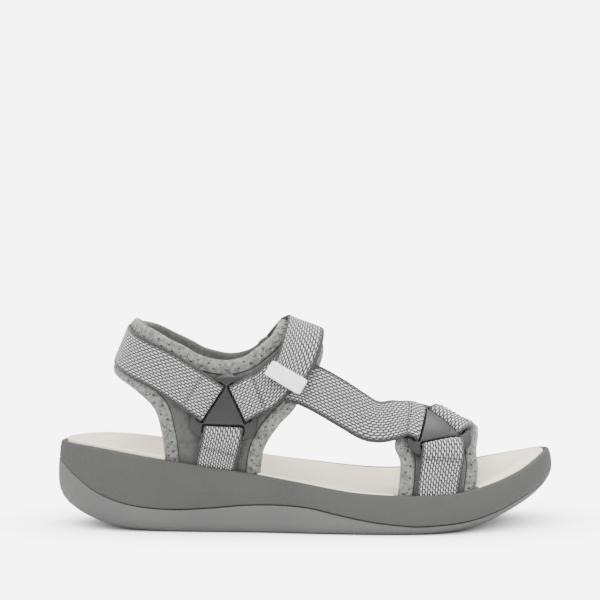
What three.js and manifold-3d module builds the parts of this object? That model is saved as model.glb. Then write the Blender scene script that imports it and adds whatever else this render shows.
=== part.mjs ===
// Strappy sport sandal, right foot. Millimetres, +X to the toe, +Y to the inner side, +Z up.
// The sole is lofted in rings; every fabric piece is laid over one foot form, the last.
import * as THREE from 'three';
import { mergeVertices } from 'three/addons/utils/BufferGeometryUtils.js';
import Module from 'manifold-3d';

const wasm = await Module();
wasm.setup();

// ---------- driving dimensions ----------
const RING_STEPS = 56;          // points round the sole
const GAP = 0.3;                // clearance between touching pieces
const LIP = 2.6;                // width of the midsole rim beside the footbed
const SEAT_DEPTH = 6.3;         // footbed top down to its seat
const COVER = 0.9;              // footbed cover thickness
const FOAM = 2.9;               // footbed foam thickness
const BOARD = 1.4;              // insole board thickness
const SLOT_DEPTH = 8.5;         // how far the uppers go down beside the footbed
const WEB = 1.3;                // webbing thickness
const WEB_WIDTH = 20;           // webbing width
const LAYER = { lining: [0.2, 0.9], foam: [1.2, 3.2], shell: [3.5, 4.3] };
const UNDER = 5.7;              // mid-plane height of webbing on the padding
const SECOND = 7.3;             // mid-plane height of webbing on webbing
const OVER = 9.9;               // mid-plane height of webbing over a ring bar
const BAR = [6.9, 8.5];         // ring plate, bottom and top height

// ---------- small mathematics ----------
const mix = (a, b, k) => a + (b - a) * k;
const clamp01 = (k) => Math.min(1, Math.max(0, k));
const ease = (k) => clamp01(k) ** 2 * (3 - 2 * clamp01(k));

// Smooth curve y(x) through [x, y] pairs, level beyond both ends.
function through(knots) {
  const last = knots.length - 1;
  const slope = (i) => {
    const a = knots[Math.max(0, i - 1)];
    const b = knots[Math.min(last, i + 1)];
    return (b[1] - a[1]) / (b[0] - a[0]);
  };
  return (x) => {
    if (x <= knots[0][0]) return knots[0][1];
    if (x >= knots[last][0]) return knots[last][1];
    let i = 0;
    while (x > knots[i + 1][0]) i += 1;
    const [x0, y0] = knots[i];
    const [x1, y1] = knots[i + 1];
    const w = x1 - x0;
    const k = (x - x0) / w;
    const rise = (2 * k ** 3 - 3 * k ** 2 + 1) * y0 + (3 * k ** 2 - 2 * k ** 3) * y1;
    return rise + (k ** 3 - 2 * k ** 2 + k) * w * slope(i) + (k ** 3 - k ** 2) * w * slope(i + 1);
  };
}

// ---------- sole outline and heights ----------
const OUTLINE = [
  [-128, 1], [-124, -12], [-112, -25], [-92, -32.3], [-60, -34.8], [-25, -37], [8, -42], [40, -45.3],
  [68, -43.8], [92, -35], [110, -21], [122, -4],
  [128, 15], [126, 28], [117, 37.5], [100, 43], [78, 45.3], [52, 41.7], [25, 34.7], [-5, 30.7],
  [-38, 31.7], [-72, 34.2], [-102, 30.7], [-121.5, 17],
];
const outline = new THREE.CatmullRomCurve3(
  OUTLINE.map(([x, y]) => new THREE.Vector3(x, y, 0)), true, 'catmullrom', 0.5);
const rimLateral = through([
  [-128, 43.4], [-110, 42.5], [-72, 36.6], [-26, 29.8], [-3, 25.9], [23, 21.5], [46, 20], [59, 20],
  [77, 20.8], [95, 24.4], [112, 29.8], [128, 37]]);
const rimMedial = through([
  [-128, 43.4], [-110, 43.2], [-72, 39.5], [-26, 33], [-3, 29.8], [43, 24.5], [77, 26.5], [95, 29.5],
  [112, 33], [128, 37]]);
const widest = through([
  [-128, 25.6], [-118, 20], [-105, 14], [-85, 9.5], [-60, 7], [50, 6], [75, 8], [95, 14], [112, 21],
  [128, 28]]);
const rollIn = through([
  [-128, 62], [-118, 46], [-100, 22], [-80, 10], [-60, 6], [50, 6], [75, 12], [95, 26], [112, 42],
  [128, 57]]);
const parting = through([
  [-128, 34.5], [-120, 28], [-107, 19.4], [-93, 14.3], [-80, 12.2], [-66, 11.5], [-49, 12.4],
  [-31, 14], [-13, 14.3], [2, 13], [14, 10.3], [32, 6.7], [50, 4.6], [57, 4.3], [77, 5.6],
  [90, 7.8], [103, 11.7], [112, 15.5], [128, 22]]);
const bedMiddle = through([
  [-128, 41], [-110, 37], [-72, 33.6], [-26, 27.6], [0, 24], [23, 20.2], [46, 17.8], [77, 18.8],
  [100, 24], [118, 31], [128, 36]]);
const sideCurve = through([[-128, 2.7], [0, 2.4], [128, 1.8]]);
const FLAT_FROM = -62;
const FLAT_TO = 66;

// One station on the rim: its outline point, the middle-line point it faces and its heights.
function station(i) {
  const p = outline.getPoint((i % RING_STEPS) / RING_STEPS);
  const spine = new THREE.Vector3(Math.min(FLAT_TO, Math.max(FLAT_FROM, p.x)), 0, 0);
  spine.y = through([[-128, 0], [8, -5], [66, 1]])(spine.x);
  const side = clamp01((p.y + 20) / 50);
  const rim = mix(rimLateral(p.x), rimMedial(p.x), ease(side));
  return { p, spine, reach: p.distanceTo(spine), rim, x: p.x };
}
const stations = Array.from({ length: RING_STEPS }, (_, i) => station(i));

// Point of a station at a horizontal distance inwards and a height.
function inward(s, distance, z) {
  const k = Math.min(1, distance / s.reach);
  return new THREE.Vector3(mix(s.p.x, s.spine.x, k), mix(s.p.y, s.spine.y, k), z);
}

// How far the outer skin lies in from the outline at a height: it rolls under below the widest
// level and leans in above it.
function skinInset(s, z) {
  const wide = widest(s.x);
  if (z >= wide) return 1.6 * ((z - wide) / (s.rim - wide)) ** 2;
  const m = sideCurve(s.x);
  return rollIn(s.x) * (1 - (1 - (1 - z / wide) ** m) ** (1 / m));
}
const skin = (s, z) => inward(s, skinInset(s, z), z);
const bedEdge = (s) => s.rim + through([[-128, 2], [-60, 1.6], [0, 0.6], [128, 0]])(s.x);
function bedTop(s, distance) {
  const k = ease(distance / Math.min(s.reach, 34));
  const middle = bedMiddle(inward(s, distance, 0).x);
  return mix(bedEdge(s), middle, k);
}
// The dished face between outsole and midsole, at a share of the way to the middle line.
function cupFace(s, share, lift) {
  const z = parting(s.x);
  const edge = skinInset(s, z);
  return inward(s, mix(edge, s.reach, share), mix(z, Math.min(z, 7), ease(share / 0.6)) + lift);
}
const CUP_SHARES = [0.12, 0.35, 0.65];

// ---------- mesh making ----------
function meshOf(vertices, triangles) {
  const g = new THREE.BufferGeometry();
  g.setAttribute('position', new THREE.Float32BufferAttribute(vertices.flatMap((v) => v.toArray()), 3));
  g.setIndex(triangles);
  return g;
}

// Closed loft of rings; both ends are zipped across the middle line of the sole.
function loftRings(rings) {
  const n = RING_STEPS;
  const triangles = [];
  const at = (r, i) => r * n + (i % n);
  const spread = (ring) => ring.reduce((sum, v) => sum + Math.abs(v.y), 0);
  // Facing surfaces are split along the same diagonals, so their gap stays even.
  for (let r = 0; r + 1 < rings.length; r += 1) {
    const inwards = spread(rings[r + 1]) < spread(rings[r]);
    for (let i = 0; i < n; i += 1) {
      const [a, b, c, d] = [at(r, i), at(r, i + 1), at(r + 1, i + 1), at(r + 1, i)];
      if (inwards) triangles.push(a, b, c, a, c, d);
      else triangles.push(a, b, d, b, c, d);
    }
  }
  const zip = (r, flip) => {
    for (let i = 0; i < n / 2; i += 1) {
      const a = at(r, i);
      const b = at(r, i + 1);
      const c = at(r, n - i - 1);
      const d = at(r, n - i);
      const faces = [];
      if (i === 0) faces.push([a, b, c]);
      else if (i === n / 2 - 1) faces.push([a, b, d]);
      else faces.push([a, b, c], [a, c, d]);
      for (const [u, v, w] of faces) triangles.push(...(flip ? [u, w, v] : [u, v, w]));
    }
  };
  zip(0, true);
  zip(rings.length - 1, false);
  return meshOf(rings.flat(), triangles);
}
const ringOf = (place) => stations.map(place);

function toManifold(geometry) {
  const g = geometry.clone();
  g.deleteAttribute('normal');
  g.deleteAttribute('uv');
  const m = mergeVertices(g, 1e-4);
  return new wasm.Manifold(new wasm.Mesh({
    numProp: 3,
    vertProperties: new Float32Array(m.attributes.position.array),
    triVerts: new Uint32Array(m.index.array),
  }));
}
function fromManifold(solid) {
  const m = solid.getMesh();
  const g = new THREE.BufferGeometry();
  g.setAttribute('position', new THREE.BufferAttribute(new Float32Array(m.vertProperties), 3));
  g.setIndex(new THREE.BufferAttribute(new Uint32Array(m.triVerts), 1));
  return g;
}

// ---------- the last: a smooth foot form ----------
const formMiddle = through([[-90, 0], [-60, -0.5], [-25, -3], [8, -5], [40, -3.4], [68, 0.3], [92, 4.7]]);
const formHalf = through([
  [-90, 22.6], [-60, 24.4], [-25, 24.5], [8, 27.5], [40, 32], [68, 34.3], [92, 29.7]]);
const formFlare = through([[-90, 6], [-25, 6], [8, 4.5], [40, 1.5], [68, 1]]);
const formRidge = through([
  [-60, 172], [-45, 152], [-32, 126], [-22, 110.5], [-14, 101.5], [6, 91.5], [20, 81], [35, 67.5],
  [50, 58.5], [65, 53.5], [85, 46], [100, 41]]);
const formHeel = through([
  [30, -105], [45, -104], [60, -101], [78, -96.5], [92, -91.5], [105, -86.8], [120, -82]]);
const FORM_BASE = 15;
const FORM_POWER = 2.5;
const HEEL_TURN = -62;

// Share of the form's size used up by height and by the turn round the heel, and its half width.
function formShares(x, z) {
  const rim = 33 - 0.12 * (x + 60);
  const half = formHalf(x) + formFlare(x) * ease((z - rim) / 28);
  const up = Math.max(0, z - FORM_BASE) / (formRidge(x) - FORM_BASE);
  const back = Math.max(0, HEEL_TURN - x) / (HEEL_TURN - formHeel(z));
  return { half, used: up ** FORM_POWER + back ** FORM_POWER };
}
function formValue(p) {
  const { half, used } = formShares(p.x, p.z);
  return (Math.abs(p.y - formMiddle(p.x)) / half) ** FORM_POWER + used - 1;
}
// Point of the last at a length and a height, on the outer (-1) or inner (+1) side.
function onLast(x, z, side) {
  const { half, used } = formShares(x, z);
  return new THREE.Vector3(x, formMiddle(x) + side * half * Math.max(0, 1 - used) ** (1 / FORM_POWER), z);
}
function formGradient(p) {
  const h = 0.05;
  const g = new THREE.Vector3();
  for (const axis of ['x', 'y', 'z']) {
    const a = p.clone();
    const b = p.clone();
    a[axis] -= h;
    b[axis] += h;
    g[axis] = (formValue(b) - formValue(a)) / (2 * h);
  }
  return g;
}
// Nearest point of the last and its outward normal.
function settle(p) {
  const q = p.clone();
  for (let i = 0; i < 10; i += 1) {
    const g = formGradient(q);
    const slope = g.length();
    const move = Math.max(-3, Math.min(3, formValue(q) / slope));
    q.addScaledVector(g, -move / slope);
  }
  return { point: q, normal: formGradient(q).normalize() };
}
function above(p, height) {
  const s = settle(p);
  return s.point.addScaledVector(s.normal, height);
}

// ---------- padded bands: a grid between a lower and an upper edge ----------
// Every row of a band is [lower point, upper point] on the last. All layers share one grid, and
// trim leaves out that many grid lines along each edge.
const BAND_LINES = [0, 0.12, 0.5, 0.88, 1];
function bandSolid(rows, heights, intervals, trim = 0, lines = BAND_LINES) {
  const low = new THREE.CatmullRomCurve3(rows.map((r) => r[0]), false, 'catmullrom', 0.5);
  const high = new THREE.CatmullRomCurve3(rows.map((r) => r[1]), false, 'catmullrom', 0.5);
  const used = lines.slice(trim, lines.length - trim);
  const vertices = [];
  const per = used.length;
  const across = per - 1;
  const steps = intervals - 2 * trim;
  for (const height of heights) {
    for (let i = trim; i <= intervals - trim; i += 1) {
      const a = low.getPoint(i / intervals);
      const b = high.getPoint(i / intervals);
      for (const v of used) vertices.push(above(a.clone().lerp(b, v), height));
    }
  }
  const shift = (steps + 1) * per;
  const triangles = [];
  const quad = (a, b, c, d) => triangles.push(a, b, c, a, c, d);
  for (let i = 0; i < steps; i += 1) {
    for (let j = 0; j < across; j += 1) {
      const a = i * per + j;
      quad(a, a + per, a + per + 1, a + 1);
      quad(shift + a, shift + a + 1, shift + a + per + 1, shift + a + per);
    }
    const e = i * per;
    quad(e, shift + e, shift + e + per, e + per);
    const f = e + across;
    quad(f, f + per, shift + f + per, shift + f);
  }
  for (let j = 0; j < across; j += 1) {
    quad(j, j + 1, shift + j + 1, shift + j);
    const e = steps * per + j;
    quad(e, shift + e, shift + e + 1, e + 1);
  }
  return outwardFaces(meshOf(vertices, triangles));
}

// Turns a closed mesh the right way out, by the sign of its volume.
function outwardFaces(g) {
  const p = g.attributes.position;
  const index = g.index.array;
  const a = new THREE.Vector3();
  const b = new THREE.Vector3();
  const c = new THREE.Vector3();
  let volume = 0;
  for (let i = 0; i < index.length; i += 3) {
    a.fromBufferAttribute(p, index[i]);
    b.fromBufferAttribute(p, index[i + 1]);
    c.fromBufferAttribute(p, index[i + 2]);
    volume += a.dot(b.cross(c));
  }
  if (volume > 0) return g;
  for (let i = 0; i < index.length; i += 3) [index[i], index[i + 1]] = [index[i + 1], index[i]];
  return g;
}

// ---------- webbing ----------
// A path laid on the last through points near it; place() gives a point along it, across it, above it.
function layPath(points) {
  const curve = new THREE.CatmullRomCurve3(points, false, 'catmullrom', 0.5);
  const count = 60;
  const spots = Array.from({ length: count + 1 }, (_, i) => settle(curve.getPoint(i / count)).point);
  const run = [0];
  for (let i = 1; i <= count; i += 1) run.push(run[i - 1] + spots[i].distanceTo(spots[i - 1]));
  const length = run[count];
  const spot = (s) => {
    let i = 0;
    while (i < count - 1 && s > run[i + 1]) i += 1;
    return spots[i].clone().lerp(spots[i + 1], (s - run[i]) / (run[i + 1] - run[i]));
  };
  const place = (s, across, height) => {
    const here = settle(spot(s));
    const tangent = spot(s + 2).sub(spot(s - 2)).normalize();
    const sideways = here.normal.clone().cross(tangent).normalize();
    return above(here.point.addScaledVector(sideways, across), height);
  };
  // Distance along the path of the spot nearest to a point.
  const nearest = (point) => {
    const target = settle(point).point;
    let best = 0;
    for (let s = 0; s <= length; s += 0.25) {
      if (spot(s).distanceTo(target) < spot(best).distanceTo(target)) best = s;
    }
    return best;
  };
  return { length, place, nearest };
}

// Closed outline of a ribbon of webbing from its middle line, in (along, height).
function ribbonOutline(line, thickness) {
  const left = [];
  const right = [];
  line.forEach(([s, h], i) => {
    const [s0, h0] = line[Math.max(0, i - 1)];
    const [s1, h1] = line[Math.min(line.length - 1, i + 1)];
    const d = Math.hypot(s1 - s0, h1 - h0);
    const ns = (-(h1 - h0) / d) * (thickness / 2);
    const nh = ((s1 - s0) / d) * (thickness / 2);
    left.push(new THREE.Vector2(s + ns, h + nh));
    right.push(new THREE.Vector2(s - ns, h - nh));
  });
  return left.concat(right.reverse());
}

// Ribbon swept across its width on the last.
function webSolid(path, line, width = WEB_WIDTH, thickness = WEB, across = 2) {
  const profile = ribbonOutline(line, thickness);
  const n = profile.length;
  const vertices = [];
  for (let j = 0; j <= across; j += 1) {
    for (const v of profile) vertices.push(path.place(v.x, mix(-width / 2, width / 2, j / across), v.y));
  }
  const triangles = [];
  for (let j = 0; j < across; j += 1) {
    for (let i = 0; i < n; i += 1) {
      const a = j * n + i;
      const b = j * n + ((i + 1) % n);
      triangles.push(a, b, b + n, a, b + n, a + n);
    }
  }
  for (let i = 0; i + 1 < line.length; i += 1) {
    const [a, b, c, d] = [i, i + 1, n - 2 - i, n - 1 - i];
    const e = across * n;
    triangles.push(a, c, b, a, d, c, e + a, e + b, e + c, e + a, e + c, e + d);
  }
  return outwardFaces(meshOf(vertices, triangles));
}

// Middle line of a web: a run of given heights, and a fold round a ring bar at either end.
const FOLD_RADIUS = (OVER - UNDER) / 2;
const FOLD_STEPS = 6;
function foldLine(at, back) {
  const line = [];
  for (let k = 1; k < FOLD_STEPS; k += 1) {
    const a = Math.PI * (0.5 - k / FOLD_STEPS);
    line.push([at + FOLD_RADIUS * Math.cos(a), (OVER + UNDER) / 2 + FOLD_RADIUS * Math.sin(a)]);
  }
  for (const k of [0, 0.5, 1]) line.push([at - back * k, UNDER]);
  return line;
}
const STEP = 6;
function runLine(from, to, height) {
  const count = Math.max(2, Math.round((to - from) / STEP));
  return Array.from({ length: count + 1 }, (_, i) => mix(from, to, i / count)).map((s) => [s, height(s)]);
}
// Height of a folded web at a distance before its fold: over the bar, then over its own tail.
function foldedHeight(before, back, plain = UNDER) {
  const second = Math.max(plain, SECOND);
  if (before < back + 3) return mix(OVER, second, ease((before - 3.5) / 7));
  return mix(second, plain, ease((before - back - 3) / 8));
}

// ---------- rings ----------
function ringFrame(centre, forward) {
  const { point, normal } = settle(centre);
  const e1 = new THREE.Vector3(forward, 0, 0);
  e1.addScaledVector(normal, -e1.dot(normal)).normalize();
  const e2 = normal.clone().cross(e1);
  const spot = (u, v) => point.clone().addScaledVector(e1, u).addScaledVector(e2, v);
  const polar = (degrees, r) => {
    const a = THREE.MathUtils.degToRad(degrees);
    return spot(r * Math.cos(a), r * Math.sin(a));
  };
  return { spot, polar };
}
function plateSolid(frame, shape, [low, high], turn) {
  const g = mergeVertices(new THREE.ExtrudeGeometry(shape, {
    depth: high - low, bevelEnabled: false, curveSegments: 6 }).deleteAttribute('normal').deleteAttribute('uv'));
  g.rotateZ(THREE.MathUtils.degToRad(turn));
  const p = g.attributes.position;
  for (let i = 0; i < p.count; i += 1) {
    const v = above(frame.spot(p.getX(i), p.getY(i)), low + p.getZ(i));
    p.setXYZ(i, v.x, v.y, v.z);
  }
  return outwardFaces(g);
}

// Three-slot ring: rounded triangle, slots facing three webs; slot and bar are distances from the centre.
const SLOT_IN = 7.15;
const SLOT_OUT = 10.35;
const BAR_OUT = 13;
const FOLD_AT = 10.5;
const SLOT_HALF = 10.75;
const LOBE = 7.5;
const SLOT_SPLITS = [-1, -1 / 3, 1 / 3, 1];
const LOBE_STEPS = 6;
const HUB_AT = 14.5;
// Flat mesh of the ring: a middle plate, a bar beyond each slot, and a lobe at each corner.
function trianglePlate(frame, turn) {
  const flat = [];
  const faces = [];
  const put = (v) => flat.push(v) - 1;
  const straight = (BAR_OUT - LOBE) * Math.sqrt(3);
  const centre = put(new THREE.Vector2(0, 0));
  const sectors = [0, 1, 2].map((k) => {
    const a = THREE.MathUtils.degToRad(turn + 120 * k);
    const line = (r, half) => SLOT_SPLITS.map((t) => put(new THREE.Vector2(
      r * Math.cos(a) - t * half * Math.sin(a), r * Math.sin(a) + t * half * Math.cos(a))));
    return { plate: line(SLOT_IN, SLOT_HALF), slot: line(SLOT_OUT, SLOT_HALF), rim: line(BAR_OUT, straight) };
  });
  sectors.forEach((here, k) => {
    const next = sectors[(k + 1) % 3];
    for (let i = 0; i < 3; i += 1) {
      faces.push([centre, here.plate[i], here.plate[i + 1]]);
      faces.push([here.slot[i], here.rim[i], here.rim[i + 1]], [here.slot[i], here.rim[i + 1], here.slot[i + 1]]);
    }
    const middle = THREE.MathUtils.degToRad(turn + 120 * k + 60);
    const on = (r) => new THREE.Vector2(r * Math.cos(middle), r * Math.sin(middle));
    const arc = [];
    for (let j = 1; j < LOBE_STEPS; j += 1) {
      const a = middle + (j / LOBE_STEPS - 0.5) * (2 * Math.PI / 3);
      arc.push(put(on(2 * (BAR_OUT - LOBE)).add(new THREE.Vector2(LOBE * Math.cos(a), LOBE * Math.sin(a)))));
    }
    const hub = put(on(HUB_AT));
    const loop = [
      here.plate.at(-1), here.slot.at(-1), here.rim.at(-1), ...arc, next.rim[0], next.slot[0], next.plate[0]];
    loop.slice(1).forEach((v, j) => faces.push([hub, loop[j], v]));
    faces.push([hub, next.plate[0], here.plate.at(-1)], [centre, here.plate.at(-1), next.plate[0]]);
  });
  return thicken(flat, faces, (v, height) => above(frame.spot(v.x, v.y), height), BAR[0], BAR[1]);
}

// Solid between two heights over a flat mesh; its walls stand on the edges that only one face uses.
function thicken(flat, faces, place, low, high) {
  const n = flat.length;
  const vertices = [low, high].flatMap((height) => flat.map((v) => place(v, height)));
  const edges = faces.flatMap(([a, b, c]) => [[a, b], [b, c], [c, a]]);
  const known = new Set(edges.map(([a, b]) => `${a} ${b}`));
  const triangles = faces.flatMap(([a, b, c]) => [a, c, b, a + n, b + n, c + n]);
  for (const [a, b] of edges) {
    if (!known.has(`${b} ${a}`)) triangles.push(a, b, b + n, a, b + n, a + n);
  }
  return outwardFaces(meshOf(vertices, triangles));
}

// ---------- places ----------
const OUTER = -1;
const INNER = 1;
const rimAt = (x, side) => (side === OUTER ? rimLateral(x) : rimMedial(x));
const soleSpot = (x, side) => onLast(x, rimAt(x, side) - SLOT_DEPTH, side);
const near = (x, y, z) => new THREE.Vector3(x, y, z);
const mirror = ([a, b]) => [near(a.x, -a.y, a.z - 1.5), near(b.x, -b.y, b.z - 1.5)];

// Collar rows run from the instep flap down the outer quarter, round the heel and up the inner quarter.
const flapRows = [
  [near(3, 12, 92), near(-14, 12, 100)],
  [near(6, -2, 94), near(-16, -2, 103)],
  [near(7, -16, 88), near(-16, -16, 102)],
  [near(4, -25, 78), near(-18, -24, 99)],
  [onLast(-6, 62.5, OUTER), near(-21, -26, 96.5)],
  [onLast(-14, 54, OUTER), onLast(-26.5, 92, OUTER)],
  [onLast(-21, 43, OUTER), onLast(-31, 89, OUTER)],
];
const outerQuarterRows = [
  [soleSpot(-26, OUTER), onLast(-36, 87.5, OUTER)],
  [soleSpot(-41, OUTER), onLast(-41, 87, OUTER)],
  [soleSpot(-56, OUTER), onLast(-47, 87.8, OUTER)],
  [soleSpot(-69.5, OUTER), onLast(-54, 90, OUTER)],
];
const heelSideRows = [
  [onLast(-72.5, 50, OUTER), onLast(-61, 94, OUTER)],
  [onLast(-76, 62, OUTER), onLast(-68, 97.5, OUTER)],
  [onLast(-85, 71, OUTER), onLast(-76, 102, OUTER)],
  [near(-92, -13, 75.5), near(-84, -13, 105)],
];
const heelRow = [near(-96, 0, 77), near(-87, 0, 106.5)];
const innerQuarterRows = [
  [soleSpot(-71, INNER), onLast(-54, 88.5, INNER)],
  [soleSpot(-56, INNER), onLast(-47, 86.5, INNER)],
  [soleSpot(-41, INNER), onLast(-41, 85.5, INNER)],
  [soleSpot(-26, INNER), onLast(-36, 86, INNER)],
  [onLast(-21, 43, INNER), onLast(-31, 87.5, INNER)],
  [onLast(-15, 54, INNER), onLast(-27, 90, INNER)],
  [onLast(-9, 64, INNER), near(-23, 27, 94)],
  [onLast(-5, 74, INNER), near(-19, 25, 97)],
];
const collarRows = [
  ...flapRows, ...outerQuarterRows, ...heelSideRows, heelRow,
  ...heelSideRows.map(mirror).reverse(), ...innerQuarterRows];

// Forefoot band rows run from the outer edge of the sole over the toes to the inner edge.
const vampRows = [
  [soleSpot(45, OUTER), soleSpot(83, OUTER)],
  [onLast(47, 34, OUTER), onLast(85.5, 31, OUTER)],
  [onLast(44, 44, OUTER), near(86, -22, 40)],
  [near(47, -18, 56), near(87, -8, 44)],
  [near(52, 0, 58), near(88, 8, 44)],
  [near(56, 20, 52), near(89, 22, 40)],
  [onLast(57, 36, INNER), onLast(88, 28, INNER)],
  [soleSpot(55, INNER), soleSpot(86, INNER)],
];

// Rings and webs.
const ankleRing = ringFrame(onLast(-41, 62, OUTER), 1);
const ANKLE_TURN = 27;
const frontRing = ringFrame(onLast(63.5, 47.5, OUTER), 1);
const FRONT_TURN = 50;
const RING_REACH = [34, 24, 17, FOLD_AT, 4];
// The last points of a web that comes in square to one slot of a ring.
const approach = (frame, degrees, from = 1) => RING_REACH.slice(from).map((r) => frame.polar(degrees, r));

const MEDIAL_RING = {
  x: -31, z: 64, halfLength: 13, halfHeight: 7.5, corner: 3.4, openLength: 10.6, openHeight: 5.3 };
const MEDIAL_BAR = [7, 8.4];    // slimmer than the other rings, so the strap can turn on it
const MEDIAL_TURN = 32;
const medialRing = ringFrame(onLast(MEDIAL_RING.x, MEDIAL_RING.z, INNER), -1);
const MEDIAL_FOLD = 5.5;

// A web from a plain end to a fold at a ring: its tail lies under it for the given length.
function foldedWeb(path, foldSpot, tail, plain = UNDER, across = 3) {
  const fold = path.nearest(foldSpot);
  return webSolid(path, [
    ...runLine(0, fold, (s) => foldedHeight(fold - s, tail, plain)), ...foldLine(fold, tail),
  ], WEB_WIDTH, WEB, across);
}
const ankleAnchorPath = layPath([
  soleSpot(-48, OUTER), onLast(-47, 36, OUTER), ...approach(ankleRing, ANKLE_TURN + 240, 2)]);
const heelWebPath = layPath([
  soleSpot(-60.5, INNER), onLast(-62, 46, INNER), onLast(-69, 66, INNER), near(-81, 20, 82), near(-89, 8, 90),
  near(-90.5, -6, 92), near(-84, -18, 88), onLast(-73, 82.5, OUTER),
  ...approach(ankleRing, ANKLE_TURN + 120)]);
const loopWebPath = layPath([
  near(-3, -25, 89), ...approach(ankleRing, ANKLE_TURN, 1)]);
const frontAnchorPath = layPath([
  soleSpot(67.5, OUTER), onLast(68.5, 24, OUTER), ...approach(frontRing, FRONT_TURN - 120, 2)]);
const instepWebPath = layPath([
  onLast(-9, 76, OUTER), onLast(1, 73, OUTER), onLast(12, 67, OUTER), onLast(23, 60, OUTER),
  onLast(33, 54.5, OUTER), ...approach(frontRing, FRONT_TURN + 120, 2)]);
const vampWebPath = layPath([
  soleSpot(70, INNER), onLast(71.5, 32, INNER), near(73.5, 24, 46), near(74, 10, 50),
  near(74, -1, 51), ...approach(frontRing, FRONT_TURN, 2)]);

// Closure chain on the inner side: anchor web, ring, strap to the instep, free end.
const medialUp = (v) => medialRing.polar(90 + MEDIAL_TURN, v);
const medialAnchorPath = layPath([
  soleSpot(-38, INNER), onLast(-38.5, 42, INNER), medialUp(-14), medialUp(-MEDIAL_FOLD), medialUp(1)]);
const closurePath = layPath([
  medialUp(-1), medialUp(MEDIAL_FOLD), medialUp(14), near(-15, 26, 87), near(-8.5, 14, 98), near(-6, 0, 99),
  near(-5, -12, 98), near(-5.2, -23, 91), onLast(-7.5, 82.5, OUTER), onLast(-13, 73, OUTER)]);
const HINGE_AT = 0.52;
const HINGE_GAP = 0.6;
const closureHinge = closurePath.length * HINGE_AT;
const ON_FLAP = 5.9;
const CLOSED = 10.7;
const closureHeight = (s) => mix(ON_FLAP, CLOSED, ease((s - closureHinge) / 18));

// ---------- the sub-parts ----------
const finishes = {
  outsole: [0x8b8d8b, 0.75], midsole: [0x747673, 0.85], board: [0x9a8f7c, 0.9], bed: [0xe9dfcf, 0.95],
  knit: [0x9c9e9a, 0.9], foam: [0xb8b8b4, 0.95], web: [0x85868a, 0.8], ring: [0x4c4d4e, 0.45],
  hook: [0x3c3d3f, 0.9], tab: [0xf0efec, 0.6],
};
const sandal = new THREE.Group();
function add(name, geometry, finish) {
  const [color, roughness] = finishes[finish];
  const mesh = new THREE.Mesh(geometry, new THREE.MeshStandardMaterial({ color, roughness, metalness: 0 }));
  mesh.name = name;
  sandal.add(mesh);
}

// Cutters where the bands and webs go down beside the footbed.
function slotCutter(x0, x1, side, top) {
  const rows = [x0, mix(x0, x1, 1 / 3), mix(x0, x1, 2 / 3), x1].map((x) => [
    onLast(x, rimAt(x, side) - SLOT_DEPTH - 2.5, side), onLast(x, rimAt(x, side) + 14, side)]);
  return toManifold(bandSolid(rows, [-0.8, top], 9, 0, [0, 1 / 3, 2 / 3, 1]));
}
const SLOTS = [[-75, -20, OUTER], [41, 88, OUTER], [-76, -20, INNER], [51, 89.5, INNER]];
function withSlots(geometry, top) {
  let solid = toManifold(geometry);
  for (const [x0, x1, side] of SLOTS) solid = solid.subtract(slotCutter(x0, x1, side, top));
  return fromManifold(solid);
}
const WALL_STACK = 7.1;
const PAST_EDGE = 16;

function makeOutsole() {
  const rings = [];
  for (const k of [0, 0.02, 0.08, 0.2, 0.4, 0.7, 1]) rings.push(ringOf((s) => skin(s, parting(s.x) * k)));
  for (const share of CUP_SHARES) rings.push(ringOf((s) => cupFace(s, share, 0)));
  return outwardFaces(loftRings(rings));
}
function makeMidsole() {
  const rings = [];
  for (const share of CUP_SHARES.slice().reverse()) rings.push(ringOf((s) => cupFace(s, share, GAP)));
  for (const k of [0, 0.3, 0.65, 0.92]) {
    rings.push(ringOf((s) => skin(s, mix(parting(s.x) + GAP, s.rim, k))));
  }
  rings.push(ringOf((s) => inward(s, 2.4, s.rim)));
  rings.push(ringOf((s) => inward(s, 1.6 + LIP, s.rim - 0.8)));
  for (const d of [1.9 + LIP, 12, 24]) rings.push(ringOf((s) => inward(s, d, bedTop(s, d) - SEAT_DEPTH)));
  return withSlots(outwardFaces(loftRings(rings)), WALL_STACK);
}
// A layer of the footbed between two depths below its top.
function bedLayer(edge, from, to) {
  const spots = [edge, 12, 24];
  const rings = [
    ...spots.slice().reverse().map((d) => ringOf((s) => inward(s, d, bedTop(s, d) - to))),
    ...spots.map((d) => ringOf((s) => inward(s, d, bedTop(s, d) - from)))];
  return outwardFaces(loftRings(rings));
}
const BED_EDGE = 1.9 + LIP + GAP;
function makeCover() {
  const skirt = COVER + FOAM + 0.4;
  const wall = BED_EDGE + COVER;
  const rings = [
    ...[24, 12].map((d) => ringOf((s) => inward(s, d, bedTop(s, d) - COVER))),
    ringOf((s) => inward(s, wall, bedTop(s, wall) - COVER)),
    ringOf((s) => inward(s, wall, bedTop(s, wall) - skirt)),
    ringOf((s) => inward(s, BED_EDGE, bedTop(s, BED_EDGE) - skirt)),
    ringOf((s) => inward(s, BED_EDGE, bedTop(s, BED_EDGE) - 0.8)),
    ringOf((s) => inward(s, BED_EDGE + 0.8, bedTop(s, BED_EDGE + 0.8))),
    ...[12, 24].map((d) => ringOf((s) => inward(s, d, bedTop(s, d)))),
  ];
  return outwardFaces(loftRings(rings));
}
const FOAM_EDGE = BED_EDGE + COVER + GAP;
const FOAM_TOP = COVER + GAP;
add('outsole', makeOutsole(), 'outsole');
add('midsole', makeMidsole(), 'midsole');
add('insole_board', withSlots(bedLayer(FOAM_EDGE, SEAT_DEPTH - GAP - BOARD, SEAT_DEPTH - GAP), PAST_EDGE), 'board');
add('footbed_foam', withSlots(bedLayer(FOAM_EDGE, FOAM_TOP, FOAM_TOP + FOAM), PAST_EDGE), 'foam');
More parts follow.
